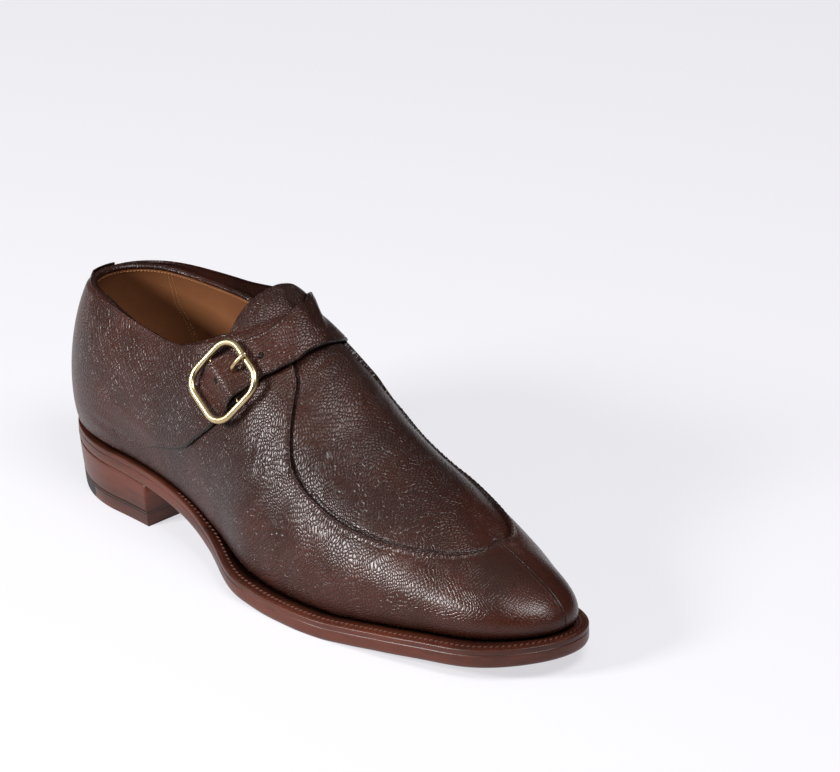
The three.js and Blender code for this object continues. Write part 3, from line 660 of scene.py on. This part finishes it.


# Creases as listed: place along and up at both ends, then width and depth in millimetres
creases = (
    (0.48, 0.47, 0.553, 0.545, 1.5, 0.5), (0.51, 0.53, 0.556, 0.56, 0.9, 0.4),
    (0.527, 0.478, 0.557, 0.53, 1.1, 0.45), (0.515, 0.43, 0.562, 0.51, 1.3, 0.4),
    (0.474, 0.365, 0.52, 0.5, 2.2, 0.35), (0.479, 0.815, 0.486, 0.72, 1.6, 0.4),
    (0.495, 0.85, 0.508, 0.76, 1.5, 0.35), (0.521, 0.96, 0.523, 0.86, 1.3, 0.35),
    (0.541, 1.0, 0.546, 0.88, 1.8, 0.3), (0.59, 0.545, 0.63, 0.5, 1.8, 0.3),
    (0.362, 0.19, 0.44, 0.24, 2.8, 0.4), (0.17, 0.09, 0.262, 0.125, 2.4, 0.35),
    (0.12, 0.13, 0.185, 0.112, 2.2, 0.35), (0.15, 0.28, 0.27, 0.25, 3.2, 0.3),
    (0.56, 0.7, 0.585, 0.84, 3.5, 0.3), (0.6, 0.74, 0.61, 0.98, 4.5, 0.25),
    (0.64, 0.36, 0.66, 0.2, 4.5, 0.25), (0.58, 0.38, 0.6, 0.18, 4, 0.3),
    (0.555, 1.3, 0.58, 1.45, 3, 0.35), (0.6, 1.5, 0.61, 1.75, 4, 0.3),
    (0.54, 1.5, 0.56, 1.7, 3.4, 0.35), (0.15, 1.72, 0.27, 1.75, 3, 0.3),
    (0.13, 1.88, 0.2, 1.89, 2.2, 0.35),
)


def creaseLift(turn, up):
    # Soft troughs with a ridge on both sides, fading towards their ends
    points = lastPoint(turn, up)
    lift = np.zeros(points.shape[:-1])
    for share0, up0, share1, up1, width, depth in creases:
        start = lastPoint(turnOf(share0), up0)
        way = lastPoint(turnOf(share1), up1) - start
        part = np.clip(dot(points - start, way) / dot(way, way), 0, 1)
        away = np.linalg.norm(points - start - way * part[..., None], axis=-1)
        fade = np.sin(math.pi * mix(0.12, 0.92, part))
        lift = lift - depth * fade * (bell(away, width) - 0.55 * bell(away - 1.9 * width, width))
    return lift


def makeUpperLeather():
    bm = bmesh.new()
    for side in (-1, 1):
        turns, ups, lift, burnish = upperSkin(side)
        edge = np.ones_like(lift)
        edge[:, 0] = 0
        open_ = shareOf(turns[:, 0]) < throat
        edge[open_, -1] = 0
        under = -upper["leather"]
        bmeshGrid(bm, lifted(turns, ups, np.where(edge > 0, lift, under)), burnish, grainPlace(turns, ups))
        few = np.concatenate([np.arange(0, lift.shape[1] - 1, 5), [lift.shape[1] - 1]])
        bmeshGrid(bm, lifted(turns[:, few], ups[:, few], under + 0 * lift[:, few]), burnish[:, few])
    return finishPiece("upperLeather", bm, [leather], ["upper"])


def makeLining():
    bm = bmesh.new()
    for side in (-1, 1):
        turn = upperTurns()[::2]
        top = collarTop(turn, side)
        rib = ribLength(turn, side)
        end = np.where(top < 1, top - 0.6 / rib, 1)
        t = np.linspace(0, 1, 44)[None] * end[:, None]
        turns = np.broadcast_to(turn[:, None], t.shape)
        ups = t if side < 0 else 2 - t
        outside = -upper["leather"] - 0.05 + 0 * t
        inside = -upper["wall"] + 0 * t
        inside[:, 0] = outside[:, 0]
        inside[top < 1, -1] = outside[top < 1, -1]
        bmeshGrid(bm, lifted(turns, ups, inside))
        bmeshGrid(bm, lifted(turns, ups, outside))
    return finishPiece("quarterLining", bm, [lining])


makeUpperLeather()
makeLining()


# Panels of leather laid on the upper
panels = {
    "gap": 0.6,
    "leather": 1.3,
    "doubled": 2.2,  # lift of a second layer
    "edgeRound": 0.9,
    "bead": 0.22,  # depth of the creased line along an edge
    "beadAt": 1.9,
    "footClear": 0.022,
    "seamTurn": 0.0015,
    "sideShare": 0.3,  # part of a quarter's rows that start at the back seam
    "quarterEnd": 0.438,
    "toplineThin": 0.9,  # leather skived away at the collar
}
edgeSteps = np.array([0, 0.12, 0.3, 0.55, 0.85, 1.2, 1.55, 1.9, 2.25, 2.7])


def quarterBack(side, u):
    forwards = np.maximum(0, (u - panels["sideShare"]) / (1 - panels["sideShare"]))
    turn = mix(panels["seamTurn"], turnOf(panels["quarterEnd"]), forwards)
    top = onSide(collar, side, shareOf(turn)) - 0.008
    t = mix(panels["footClear"], top, np.minimum(1, u / panels["sideShare"]))
    return turn, t if side < 0 else 2 - t


def panelRows(front, back, extra=0):
    # Places across each row, close together at its two edges, with their distance from both edges
    frontTurn, frontUp = front
    backTurn, backUp = back
    w = np.linspace(0, 1, 25)[None]
    turn = mix(frontTurn[:, None], backTurn[:, None], w)
    up = mix(frontUp[:, None], backUp[:, None], w)
    points = lastPoint(turn, up)
    length = np.linalg.norm(np.diff(points, axis=1), axis=2).sum(1)[:, None]
    steps = np.minimum(edgeSteps[None], length * 0.4 * edgeSteps[None] / edgeSteps[-1]) / length
    middle = mix(steps[:, -1:], 1 - steps[:, -1:], np.linspace(0, 1, 26 + extra)[None, 1:-1])
    w = np.concatenate([steps, middle, 1 - steps[:, ::-1]], axis=1)
    turn = mix(frontTurn[:, None], backTurn[:, None], w)
    up = mix(frontUp[:, None], backUp[:, None], w)
    return turn, up, w * length, (1 - w) * length


def roundEdge(distance):
    near = np.clip(distance / panels["edgeRound"], 0, 1)
    return np.sqrt(1 - (1 - near) ** 2)


def addPanel(bm, turn, up, base, thickness, away, burnish):
    # The upper and under face meet along the panel's edge
    top = base + thickness * roundEdge(away)
    grain = grainPlace(turn, up) + 11.3
    bmeshGrid(bm, lifted(turn, up, top), burnish, grain)
    bmeshGrid(bm, lifted(turn, up, base), burnish, grain)


outerFront = Table(("share", "up"), [
    (0, 0.16, 0.022), (0.12, 0.205, 0.07), (0.26, 0.275, 0.163), (0.36, 0.328, 0.223), (0.4, 0.348, 0.253),
    (0.5, 0.375, 0.32), (0.62, 0.411, 0.422), (0.74, 0.442, 0.55), (0.84, 0.463, 0.66), (0.93, 0.472, 0.79),
    (1, 0.457, 0.915),
])
innerFront = Table(("share", "up"), [
    (0, 0.41, 0.022), (0.15, 0.405, 0.2), (0.3, 0.42, 0.38), (0.45, 0.45, 0.57), (0.6, 0.482, 0.72),
    (0.75, 0.503, 0.84), (0.9, 0.512, 0.96), (1, 0.511, 1.03),
])


def collarThin(u, fromBack):
    return panels["toplineThin"] * (1 - between(fromBack, 0.5, 9)) * between(u, 0.29, 0.31)


def makeOuterQuarter():
    u = np.linspace(0, 1, 190)
    u = mix(u, np.sin(u * math.pi / 2), 0.2)
    front = (turnOf(outerFront.share(u)), outerFront.up(u))
    turn, up, fromFront, fromBack = panelRows(front, quarterBack(-1, u), 20)
    rows = u[:, None]
    ends = np.abs(np.linspace(0, 1, len(u)) - np.round(np.linspace(0, 1, len(u))))[:, None] * 130
    away = np.minimum(np.minimum(fromFront, fromBack), ends)
    flush = (1 - between(rows, 0.17, 0.31)) * (1 - between(fromFront, 2, 38))
    base = panels["gap"] * (1 - flush) + 0.02
    thick = mix(panels["leather"], 0.05, flush) - collarThin(rows, fromBack)
    thick = thick - panels["bead"] * bell(fromFront - panels["beadAt"], 0.35) * (1 - flush)
    thick = thick + creaseLift(turn, up) * np.clip(away / 4, 0, 1)
    # edge ink and painted shade darken the flap's front edge, and less so the collar edge
    burnish = 0.95 * bell(fromFront, 1.0) * (1 - flush) + 0.35 * bell(fromBack, 1.2)
    bm = bmesh.new()
    addPanel(bm, turn, up, base + 0 * away, thick, away, burnish)
    return finishPiece("outerQuarter", bm, [leather], ["outer_quarter"])


makeOuterQuarter()

# Strap and buckle
strap = {
    "width": 20.8,
    "slack": 0.5,
    "reach": 44,  # from the buckle's centre back over the ridge
    "tail": 2.2,
    "tailRound": 4,
    "arch": 5.4,
    "holeAt": 7,
    "holes": ((-2.2, 1.6), (7, 0), (17.9, -2.3)),  # along and across from the buckle's centre
    "holeDepth": 1.1,
    "creases": ((-6.8, 0.2), (-3.6, 0.16), (12, 0.2)),  # along from the buckle's centre, and depth
    "stand": 4.1,  # how far its back edge stands up at the ridge
}
strapEdges = Table(("front", "back"), [  # the edges bend towards the toe between the buckle and the ridge
    (0, 1, 1), (0.31, 1, 1), (0.42, 1.12, 0.85), (0.53, 1.18, 0.68), (0.66, 1.25, 0.58), (0.8, 1.14, 0.64),
    (0.93, 1.1, 0.86), (1, 1.08, 1),
])
buckle = {
    "share": 0.417,
    "up": 0.5715,
    "turn": -28.5,  # degrees from the rib to the strap
    "wire": 3.2,
    "room": 1.5,  # between the strap's slack and the wire
    "bar": 2.2,
    "barShown": 1.2,  # the drawn bar's thickness, less than the bar the strap's arch is sized for
    "barDrop": 1,
    "prong": 1.9,
    "prongReach": 2.6,
    "length": 31.6,
    "corner": 8.2,
    "settle": 0.1,
}
buckleTurn = float(turnOf(buckle["share"]))
off = lastNormal(buckleTurn, buckle["up"])
ribWay = unit(lastPoint(buckleTurn, buckle["up"] + 0.01) - lastPoint(buckleTurn, buckle["up"] - 0.01))
towardsRidge = np.array(Matrix.Rotation(math.radians(buckle["turn"]), 3, Vector(off)) @ Vector(ribWay))
acrossStrap = np.cross(off, towardsRidge)
seat = lastPoint(buckleTurn, buckle["up"])
frameHalf = (buckle["length"] - buckle["wire"]) / 2
frameSide = strap["width"] / 2 + strap["slack"] + buckle["room"] + buckle["wire"] / 2
doubled = panels["doubled"]
frameLift = doubled + panels["leather"] + 0.3 + buckle["wire"] / 2 - buckle["settle"]
archRise = frameLift + buckle["bar"] / 2 + 0.3 - doubled
strapEnd = frameHalf + strap["tail"]


def onBuckle(along, across, height):
    along, across, height = (np.asarray(v, float)[..., None] for v in (along, across, height))
    return seat + towardsRidge * along + acrossStrap * across + off * height


def strapPlace(distance, side, inset=0):
    turn, up, heading = walk(buckleTurn, buckle["up"], towardsRidge, distance)
    across = np.cross(lastNormal(turn, up), heading)
    nearTail = np.maximum(0, (-distance - strapEnd) / strap["tailRound"] + 1)
    share = np.asarray(distance) / strap["reach"]
    edge = strapEdges.front(share) if side < 0 else strapEdges.back(share)
    half = strap["width"] / 2 * edge * np.sqrt(1 - 0.55 * np.minimum(nearTail, 1) ** 2) - inset
    turn, up, heading = walk(turn, up, across, side * half, 10)
    return turn, up


def strapLift(up, along):
    return mix(doubled, panels["gap"], between(up, 0.94, 1.01)) + archRise * bell(along, strap["arch"])


def makeInnerQuarterStrap():
    u = np.linspace(0, 1, 110)
    distances = np.concatenate([
        np.linspace(strap["reach"], 18, 60), np.linspace(17.6, 1 - strapEnd, 90),
        -strapEnd + np.array([0.7, 0.4, 0.15, 0]),
    ])
    quarterRows = (turnOf(innerFront.share(u)), 2 - innerFront.up(u)), quarterBack(1, u)
    strapRows = strapPlace(distances, -1), strapPlace(distances, 1)
    joints = np.array([0.25, 0.5, 0.75])
    edges = []
    for quarterEdge, strapEdge in zip(quarterRows, strapRows):
        parts = []
        for a, b in zip(quarterEdge, strapEdge):
            parts.append(np.concatenate([a, mix(a[-1], b[0], joints), b]))
        edges.append(parts)
    turn, up, fromFront, fromBack = panelRows(edges[0], edges[1])
    far = 1.4 * strap["reach"]
    along = np.concatenate([np.full(len(u), far), mix(far, strap["reach"], joints), distances])[:, None]
    rows = np.concatenate([u, 0 * joints + 1, 0 * distances + 1])[:, None]
    fromTail = np.where(along < 0, along + strapEnd, 99)
    away = np.minimum(np.minimum(fromFront, fromBack), fromTail)
    isStrap = between(-along, -36, -28)
    base = strapLift(up, along) + 0 * away
    thick = panels["leather"] - collarThin(rows, fromBack) * (1 - between(rows, 0.9, 1))
    bead = bell(fromFront - panels["beadAt"], 0.35) + isStrap * bell(fromBack - panels["beadAt"], 0.35)
    thick = thick - panels["bead"] * bead
    curl = np.where(along > strap["reach"] + 0.1, between(rows, 0.8, 0.99), between(along, 22, 40))
    base = base + curl * (0.4 * bell(fromBack, 1.8) + strap["stand"] * bell(fromBack, 15))
    lift = creaseLift(turn, up) * np.clip(away / 4, 0, 1) * (1 - isStrap)
    for place, deep in strap["creases"]:
        bend = along - place + 0.22 * (fromFront - 8)
        fold = bell(bend, 1.1) - 0.5 * bell(np.abs(bend) - 2.2, 1)
        lift = lift - deep * isStrap * fold * np.clip(away / 3, 0, 1)
    burnish = 0.8 * bell(away, 1.1)
    share = along / strap["reach"]
    middle = strap["width"] / 4 * (strapEdges.back(share) - strapEdges.front(share))
    across = middle - (fromBack - fromFront) / 2
    for place, aside in strap["holes"]:
        distance = np.hypot(along - place, across - aside)
        hole = strap["holeDepth"] * (1 - between(distance, 0.8, 1.5)) - 0.12 * bell(distance - 2, 0.5)
        lift = lift - isStrap * hole
        # the holes are painted dark: painted shade inside each hole
        burnish = np.maximum(burnish, 1.17 * isStrap * (1 - between(distance, 1.1, 1.6)))
    bm = bmesh.new()
    addPanel(bm, turn, up, base, thick + lift, away, burnish)
    return finishPiece("innerQuarterStrap", bm, [leather], ["inner_quarter_strap"])


makeInnerQuarterStrap()


def tube(bm, points, radii, around=20, closed=False):
    # Round wire along a path
    count = len(points)
    ahead = np.roll(points, -1, axis=0) - np.roll(points, 1, axis=0)
    if not closed:
        ahead[0] = points[1] - points[0]
        ahead[-1] = points[-1] - points[-2]
    ahead = unit(ahead)
    side = unit(np.cross(ahead, np.broadcast_to(off, ahead.shape)))
    other = np.cross(side, ahead)
    angle = np.linspace(0, 2 * math.pi, around + 1)
    ring = side[:, None] * np.cos(angle)[None, :, None] + other[:, None] * np.sin(angle)[None, :, None]
    grid = points[:, None] + ring * np.broadcast_to(radii, (count,))[:, None, None]
    if closed:
        grid = np.concatenate([grid, grid[:1]])
    bmeshGrid(bm, grid)


def makeBuckle():
    bm = bmesh.new()
    path = []
    for corner, (a, b) in enumerate(((1, 1), (-1, 1), (-1, -1), (1, -1))):
        angle = (corner + np.linspace(0, 1, 15)) * math.pi / 2
        along = a * (frameHalf - buckle["corner"]) + buckle["corner"] * np.cos(angle)
        across = b * (frameSide - buckle["corner"]) + buckle["corner"] * np.sin(angle)
        path.append(onBuckle(along, across, frameLift))
    tube(bm, np.concatenate(path), buckle["wire"] / 2, closed=True)
    ends = np.linspace(-frameSide, frameSide, 5)
    tube(bm, onBuckle(0 * ends, ends, frameLift - buckle["barDrop"]), buckle["barShown"] / 2)
    return finishPiece("buckleFrame", bm, [brass], ["buckle_frame"])


def makeProng():
    radius = buckle["prong"] / 2
    start = doubled + archRise * bell(strap["holeAt"], strap["arch"]) + 0.5
    over = frameLift + buckle["wire"] / 2 + 0.3 + radius
    holeAt = strap["holeAt"]
    bend = np.array([
        (holeAt, start), (holeAt, mix(start, over, 0.65)),
        (mix(holeAt, frameHalf, 0.2), mix(start, over, 0.92)),
        (mix(holeAt, frameHalf, 0.6), over + 0.1), (frameHalf, over),
        (frameHalf + 0.6 * buckle["prongReach"], over - 0.4), (frameHalf + buckle["prongReach"], over - 1.1),
    ])
    steps = np.linspace(0, len(bend) - 1, 40)
    along = np.interp(steps, range(len(bend)), bend[:, 0])
    height = np.interp(steps, range(len(bend)), bend[:, 1])
    for _ in range(6):
        along[1:-1] = (along[:-2] + along[1:-1] + along[2:]) / 3
        height[1:-1] = (height[:-2] + height[1:-1] + height[2:]) / 3
    points = onBuckle(along, 0 * along, height)
    toEnd = np.linspace(1, 0, len(points)) * 10
    radii = radius * np.sqrt(1 - (1 - np.clip(toEnd / 1.2, 0, 1)) ** 2)
    bm = bmesh.new()
    tube(bm, points, radii)
    return finishPiece("buckleProng", bm, [brass], ["prong"])


makeBuckle()
makeProng()

# Tongue, heel tab and the rolled rim of the collar
tongue = {"front": 0.5, "low": 0.66, "high": 1.23, "wall": 1.6, "gap": 1.0, "rise": 1.6, "puckers": 13}
tongueBack = Table(("share",), [
    (0, 0.38), (0.25, 0.376), (0.37, 0.377), (0.57, 0.381), (0.77, 0.382), (0.93, 0.388), (1, 0.4),
])


tongueCrown = Table(("lift",), [  # by how far up, where the tongue is free of the strap
    (0.8, -0.5), (0.9, -0.3), (1, 0.5), (1.08, 1.6), (1.15, 3.6), (1.24, 4.8),
])


def makeTongue():
    u = np.linspace(0, 1, 60)
    front = (turnOf(tongue["front"]) + 0 * u, mix(tongue["low"], tongue["high"], u))
    back = (turnOf(tongueBack.share(u)), mix(tongue["low"], tongue["high"], u))
    turn, up, fromFront, fromBack = panelRows(front, back)
    sides = np.minimum(u, 1 - u)[:, None] * 30
    away = np.minimum(np.minimum(fromBack, sides), 9)
    side = np.where(up < 1, -1, 1)
    free = 1 - np.abs(up - 1) - onSide(collar, side, np.minimum(shareOf(turn), throat))
    base = -(upper["wall"] + tongue["gap"] + tongue["wall"]) + tongue["rise"] * between(free, 0.05, 0.24)
    lobe = (1 - between(fromBack, 4, 18)) * between(free, -0.06, -0.01)
    base = mix(base, tongueCrown.lift(up) - tongue["wall"], lobe)
    puckered = (1 - between(fromBack, 2, 13)) * (1 - between(up, 0.95, 1.1))
    pucker = np.sin((up + 0.012 * fromBack) * 2 * math.pi * tongue["puckers"]) * puckered
    base = base + 0.28 * pucker * np.clip(fromBack / 2.5, 0, 1)
    bm = bmesh.new()
    addPanel(bm, turn, up, base, tongue["wall"], np.minimum(away, fromFront), 0.5 * bell(away, 1.2))
    return finishPiece("tongue", bm, [leather], ["tongue"])


def makeHeelTab():
    low, high = 0.53, float(collar.outer(0)) - 0.008
    turned, _, _ = walk(0.0015, low, np.array([0, -1, 0]), np.array([6.5]))
    half = abs(float(turned[0]))
    u = np.linspace(0, 1, 30)
    turn, up, fromFront, fromBack = panelRows(
        (mix(half, -half, u), low + 0 * u), (mix(half, -half, u), high + 0 * u),
    )
    sides = np.minimum(u, 1 - u)[:, None] * 13
    away = np.minimum(np.minimum(fromFront, fromBack), sides)
    thick = 0.9 - 0.2 * bell(away - 1.6, 0.35)
    bm = bmesh.new()
    base = panels["gap"] + panels["leather"] - 0.1 + 0 * away
    addPanel(bm, turn, up, base, thick, away, 0.6 * bell(away, 1))
    return finishPiece("heelTab", bm, [leather], ["heel_tab"])


rim = {"outer": 0.75, "rows": 260, "around": 14}


def makeRim():
    # Rolled edge over the collar, from the throat round the heel and back
    endTurn = float(turnOf(0.43))
    tau = np.linspace(-endTurn, endTurn, rim["rows"])
    side = np.where(tau < 0, 1, -1)
    turn = np.abs(tau)
    top = onSide(collar, side, shareOf(turn))
    rib = np.where(side < 0, ribLength(turn, -1), ribLength(turn, 1))
    radius = (rim["outer"] + upper["wall"]) / 2
    middle = rim["outer"] - radius
    angle = np.linspace(0, 2 * math.pi, rim["around"] * 2 + 1)
    squash = np.where(np.sin(angle) > 0, 0.75, 1.3)
    t = top[:, None] + radius * (squash * np.sin(angle) - 0.9)[None] / rib[:, None]
    lift = middle + radius * np.cos(angle)[None] + 0 * t
    turns = np.broadcast_to(turn[:, None], t.shape)
    ups = np.where(side[:, None] < 0, t, 2 - t)
    bm = bmesh.new()
    bmeshGrid(bm, lifted(turns, ups, lift), 0.25, grainPlace(turns, ups + 0.5 * lift / rib[:, None]))
    return finishPiece("collarRim", bm, [leather])


makeTongue()
makeHeelTab()
makeRim()

# Bottom: welt, outsole, heel and insole
sole = {
    "rows": 220,
    "edgeRound": 0.7,
    "weltSeat": 2.0,
    "insole": 3.6,
    "insoleInset": 2.6,
    "heelLength": 65,
    "heelTaper": 2.4,
    "topPiece": 5.6,
    "band": 1.0,
    "rubber": 27,
}


def loftAround(bm, section, rows):
    # Closed tube of sections along the shoe: each section is given for the outer side and then the inner
    turn = np.linspace(0, 1, rows)
    outer = section(turn, -1)
    inner = section(turn, 1)[:, ::-1]
    grid = np.concatenate([outer, inner, outer[:, :1]], axis=1)
    bmeshGrid(bm, grid)


def edgeProfile(low, high, swellBy, steps=9):
    # Heights and outward moves up a rounded edge
    share = np.linspace(0, 1, steps)
    out = -swellBy * np.abs(2 * share - 1) ** 3 * np.where(share > 0.5, 0.12, 1)
    return mix(low[:, None], high[:, None], share[None]), out


def makeOutsole():
    def section(turn, side):
        share = shareOf(turn)
        z, out = edgeProfile(soleUnder(share), weltUnder(share) - 0.04, sole["edgeRound"])
        edge = weltEdge(turn, side)[:, None] + out[None]
        rim_ = edgePoint(turn[:, None], side, edge, z)
        insides = edgePoint(turn[:, None], side, edge[:, :1] - np.array([[0.5, 1.5, 4]]), z[:, :1])
        return np.concatenate([insides[:, ::-1], rim_], axis=1)

    bm = bmesh.new()
    loftAround(bm, section, sole["rows"])
    return finishPiece("outsoleLeather", bm, [soleEdge], ["outsole"])


def makeWelt():
    turns = np.linspace(0, 1, sole["rows"])
    around = [(turns, -1), (turns[::-1], 1)]
    profile = [
        (-1, 0), (0.2, 0), (0.03, 0.06), (0, 0.15), (0, 0.5), (0, 0.78),
        (0.1, 0.92), (0.3, 0.99), (0.6, 1), (1.6, 1),
    ]
    grids = []
    for turn, side in around:
        share = shareOf(turn)
        low = weltUnder(share)
        out = weltEdge(turn, side)
        points = []
        for inset, height in profile:
            outwards = -sole["weltSeat"] + 0 * out if inset < 0 else out - inset
            points.append(edgePoint(turn, side, outwards, low + last["welt"] * height))
        points.append(edgePoint(turn, side, -sole["weltSeat"] + 0 * out, low + last["welt"]))
        points.append(points[0])
        grids.append(np.stack(points, axis=1))
    bm = bmesh.new()
    bmeshGrid(bm, np.concatenate([grids[0], grids[1], grids[0][:1]]))
    return finishPiece("weltStrip", bm, [soleEdge], ["welt"])


def makeInsole():
    def section(turn, side):
        share = shareOf(turn)
        low = weltUnder(share)
        z, out = edgeProfile(low, low + sole["insole"], 0.4, 5)
        return edgePoint(turn[:, None], side, -sole["insoleInset"] + out[None], z)

    bm = bmesh.new()
    loftAround(bm, section, 120)
    return finishPiece("sock", bm, [lining], ["insole"])


def heelBlock(name, start, end, low, high, material, slot, node, round_=0.15):
    turn = mix(turnOf(start / last["length"]), turnOf(end / last["length"]), np.linspace(0, 1, 60))
    share = shareOf(turn)
    top = high(share) if callable(high) else high + 0 * share
    z, out = edgeProfile(low + 0 * share, top, round_, 13)

    def corner(side):
        drawn = sole["heelTaper"] * np.maximum(0, 1 - z / last["heelHeight"])
        back = 1 - between(share, 0, last["heelRound"][0])[:, None]
        edge = weltEdge(turn, side)[:, None] - sole["edgeRound"] / 3 - drawn * mix(0.4, 1, back) + out[None]
        return edgePoint(turn[:, None], side, edge, z)

    outer = corner(-1)
    inner = corner(1)[:, ::-1]
    bm = bmesh.new()
    bmeshGrid(bm, np.concatenate([outer, inner, outer[:, :1]], axis=1))
    bmesh.ops.remove_doubles(bm, verts=bm.verts, dist=0.002 * mm)
    bmesh.ops.holes_fill(bm, edges=[edge for edge in bm.edges if edge.is_boundary])
    return finishPiece(name, bm, [material], [node])


makeOutsole()
makeWelt()
makeInsole()
bandTop = sole["topPiece"] + sole["band"]
heelEnd = sole["heelLength"]
rubberEnd = sole["rubber"]


def stackTop(share):
    return soleUnder(share) - 0.05


for block in (
    ("heelStack", 0, heelEnd, bandTop, stackTop, soleEdge, "sole_leather", "heel_stack"),
    ("heelBand", 0, heelEnd, sole["topPiece"], bandTop, darkLayer, "band_leather", "heel_band"),
    ("heelRubber", 0, rubberEnd, 0, sole["topPiece"], rubber, "heel_rubber", "top_piece_rubber"),
    ("heelLeather", rubberEnd, heelEnd, 0, sole["topPiece"], soleEdge, "sole_leather", "top_piece_leather"),
):
    heelBlock(*block)


def seamPath(side, fromShare, toShare, away, lift, steps=240):
    # Along the apron seam, a distance away from it towards the plug
    turn = np.linspace(float(turnOf(fromShare)), float(turnOf(toShare)), steps)
    t = onSide(apron, side, shareOf(turn)) + away / ribLength(turn, side)
    up = t if side < 0 else 2 - t
    return lifted(turn, up, lift + 0 * t), lastNormal(turn, up)


def sewApron():
    ends = [seamPath(side, 0.575, 1, 0.15, 0.62) for side in (-1, 1)]
    path, outward = (np.concatenate([ends[0][i], ends[1][i][::-1]]) for i in (0, 1))
    groups = [stitchesAlong(path, outward, "apron")]
    for side in (-1, 1):
        groups += [stitchesAlong(*seamPath(side, 0.508, 0.572, away, 0.06), "lap") for away in (-1.25, -2.75)]
    up = np.linspace(0.905, 0.06, 200)
    groups.append(stitchesAlong(lifted(1.0, up, 0.02 + 0 * up), lastNormal(1.0, up), "toe"))
    return sewPiece("apronStitches", groups, thread)


def weltPath(share0, inwards, height):
    # Round the forepart from the outer breast of the heel to the inner one
    turn = np.linspace(float(turnOf(share0)), 1, 500)
    parts = []
    for side in (-1, 1):
        out = np.maximum(weltEdge(turn, side) - inwards, 0.3)
        points = edgePoint(turn, side, out, weltUnder(shareOf(turn)) + last["welt"] + height)
        parts.append(points if side < 0 else points[::-1])
    path = np.concatenate(parts)
    return path, np.broadcast_to((0.0, 0.0, 1.0), path.shape)


def sewWelt():
    sewPiece("weltStitches", [stitchesAlong(*weltPath(0.3, 3.6, 0.02), "welt")], weltThread)
    marks = stitchesAlong(*weltPath(0.16, 1.2, -0.04), "wheel")
    sewPiece("weltWheelMarks", [marks], soleEdge)


liningSeam = Table(("share",), [
    (0.02, 0.118), (0.252, 0.107), (0.337, 0.095), (0.445, 0.081), (0.554, 0.08), (0.62, 0.083),
])


def sewLining():
    groups = []
    for side in (-1, 1):
        turn = np.linspace(0.0, float(turnOf(0.425)), 400)
        t = collarTop(turn, side) - 2.9 / ribLength(turn, side)
        rows = [(turn, t if side < 0 else 2 - t)]
        for aside in (-0.9, 0.9):
            t = np.linspace(0.05, 0.6, 200)
            rows.append((turnOf(liningSeam.share(t) + aside / last["length"]), t if side < 0 else 2 - t))
        for turn, up in rows:
            path = lifted(turn, up, -upper["wall"] - 0.04 + 0 * up)
            groups.append(stitchesAlong(path, -lastNormal(turn, up), "lining"))
    return sewPiece("liningStitches", groups, tanThread)


sewApron()
sewWelt()
sewLining()

# Camera, lights and floor
view = {
    "azimuth": 47.4,
    "elevation": 24.99,
    "roll": -1.49,
    "target": (118.3, 80.2, 46.4),  # on the last, in its own millimetres
    "distance": 3438.4,
    "focal": 8000,  # in pixels of the frame
    "frameWidth": 840,
}


def addCamera():
    az, el, roll = (math.radians(view[key]) for key in ("azimuth", "elevation", "roll"))
    back = np.array([math.sin(az) * math.cos(el), -math.cos(az) * math.cos(el), math.sin(el)])
    right = np.array([math.cos(az), math.sin(az), 0])
    upWay = np.cross(back, right)
    x = right * math.cos(roll) + upWay * math.sin(roll)
    y = upWay * math.cos(roll) - right * math.sin(roll)
    place = (np.array(view["target"]) + toScene + back * view["distance"]) * mm
    data = bpy.data.cameras.new("camera")
    data.sensor_width = 36
    data.lens = view["focal"] / view["frameWidth"] * data.sensor_width
    data.clip_end = 20
    camera = bpy.data.objects.new("camera", data)
    camera.matrix_world = Matrix([[*(x[i], y[i], back[i]), place[i]] for i in range(3)] + [[0, 0, 0, 1]])
    bpy.context.scene.collection.objects.link(camera)
    bpy.context.scene.camera = camera
    return back, right


def addLight(name, azimuth, elevation, distance, size, power, colour=(1, 1, 1)):
    az, el = math.radians(azimuth), math.radians(elevation)
    back = Vector((math.sin(az) * math.cos(el), -math.cos(az) * math.cos(el), math.sin(el)))
    data = bpy.data.lights.new(name, "AREA")
    data.shape = "RECTANGLE"
    data.size, data.size_y = size
    data.energy = power
    data.color = colour
    light = bpy.data.objects.new(name, data)
    light.location = back * distance + Vector((0, 0, 0.04))
    light.rotation_euler = back.to_track_quat("Z", "Y").to_euler()
    bpy.context.scene.collection.objects.link(light)


def addFloor():
    bm = bmesh.new()
    bmesh.ops.create_grid(bm, x_segments=1, y_segments=1, size=6)
    mesh = bpy.data.meshes.new("floor")
    bm.to_mesh(mesh)
    bm.free()
    floor = bpy.data.objects.new("floor", mesh)
    material, shader, start, place = newMaterial("paleFloor", {"Roughness": 0.9})
    away = start.node("ShaderNodeVectorMath", {"operation": "LENGTH"}, {0: place}, 1)
    shown = away.ramp(1.0, 0.65)
    shader.inputs["Emission Strength"].default_value = 0.66
    colour = shown.blend((0.03, 0.03, 0.03), (0.2, 0.198, 0.205))
    feed(shader, colour=colour, glow=shown.blend((0.03, 0.03, 0.03), (0.97, 0.96, 1)))
    mesh.materials.append(material)
    bpy.context.scene.collection.objects.link(floor)


addCamera()
addFloor()
addLight("skyPanel", 0, 88, 1.7, (2.6, 2.2), 7)
addLight("keyPanel", -20, 28, 1.5, (0.45, 0.32), 34)
addLight("rightPanel", 77, 57, 1.6, (0.8, 0.6), 22)
world = bpy.data.worlds.new("studio")
world.use_nodes = True
world.node_tree.nodes["Background"].inputs[0].default_value = (0.93, 0.93, 0.96, 1)
world.node_tree.nodes["Background"].inputs[1].default_value = 0.04
bpy.context.scene.world = world
bpy.context.scene.view_settings.view_transform = "Standard"
bpy.context.view_layer.update()
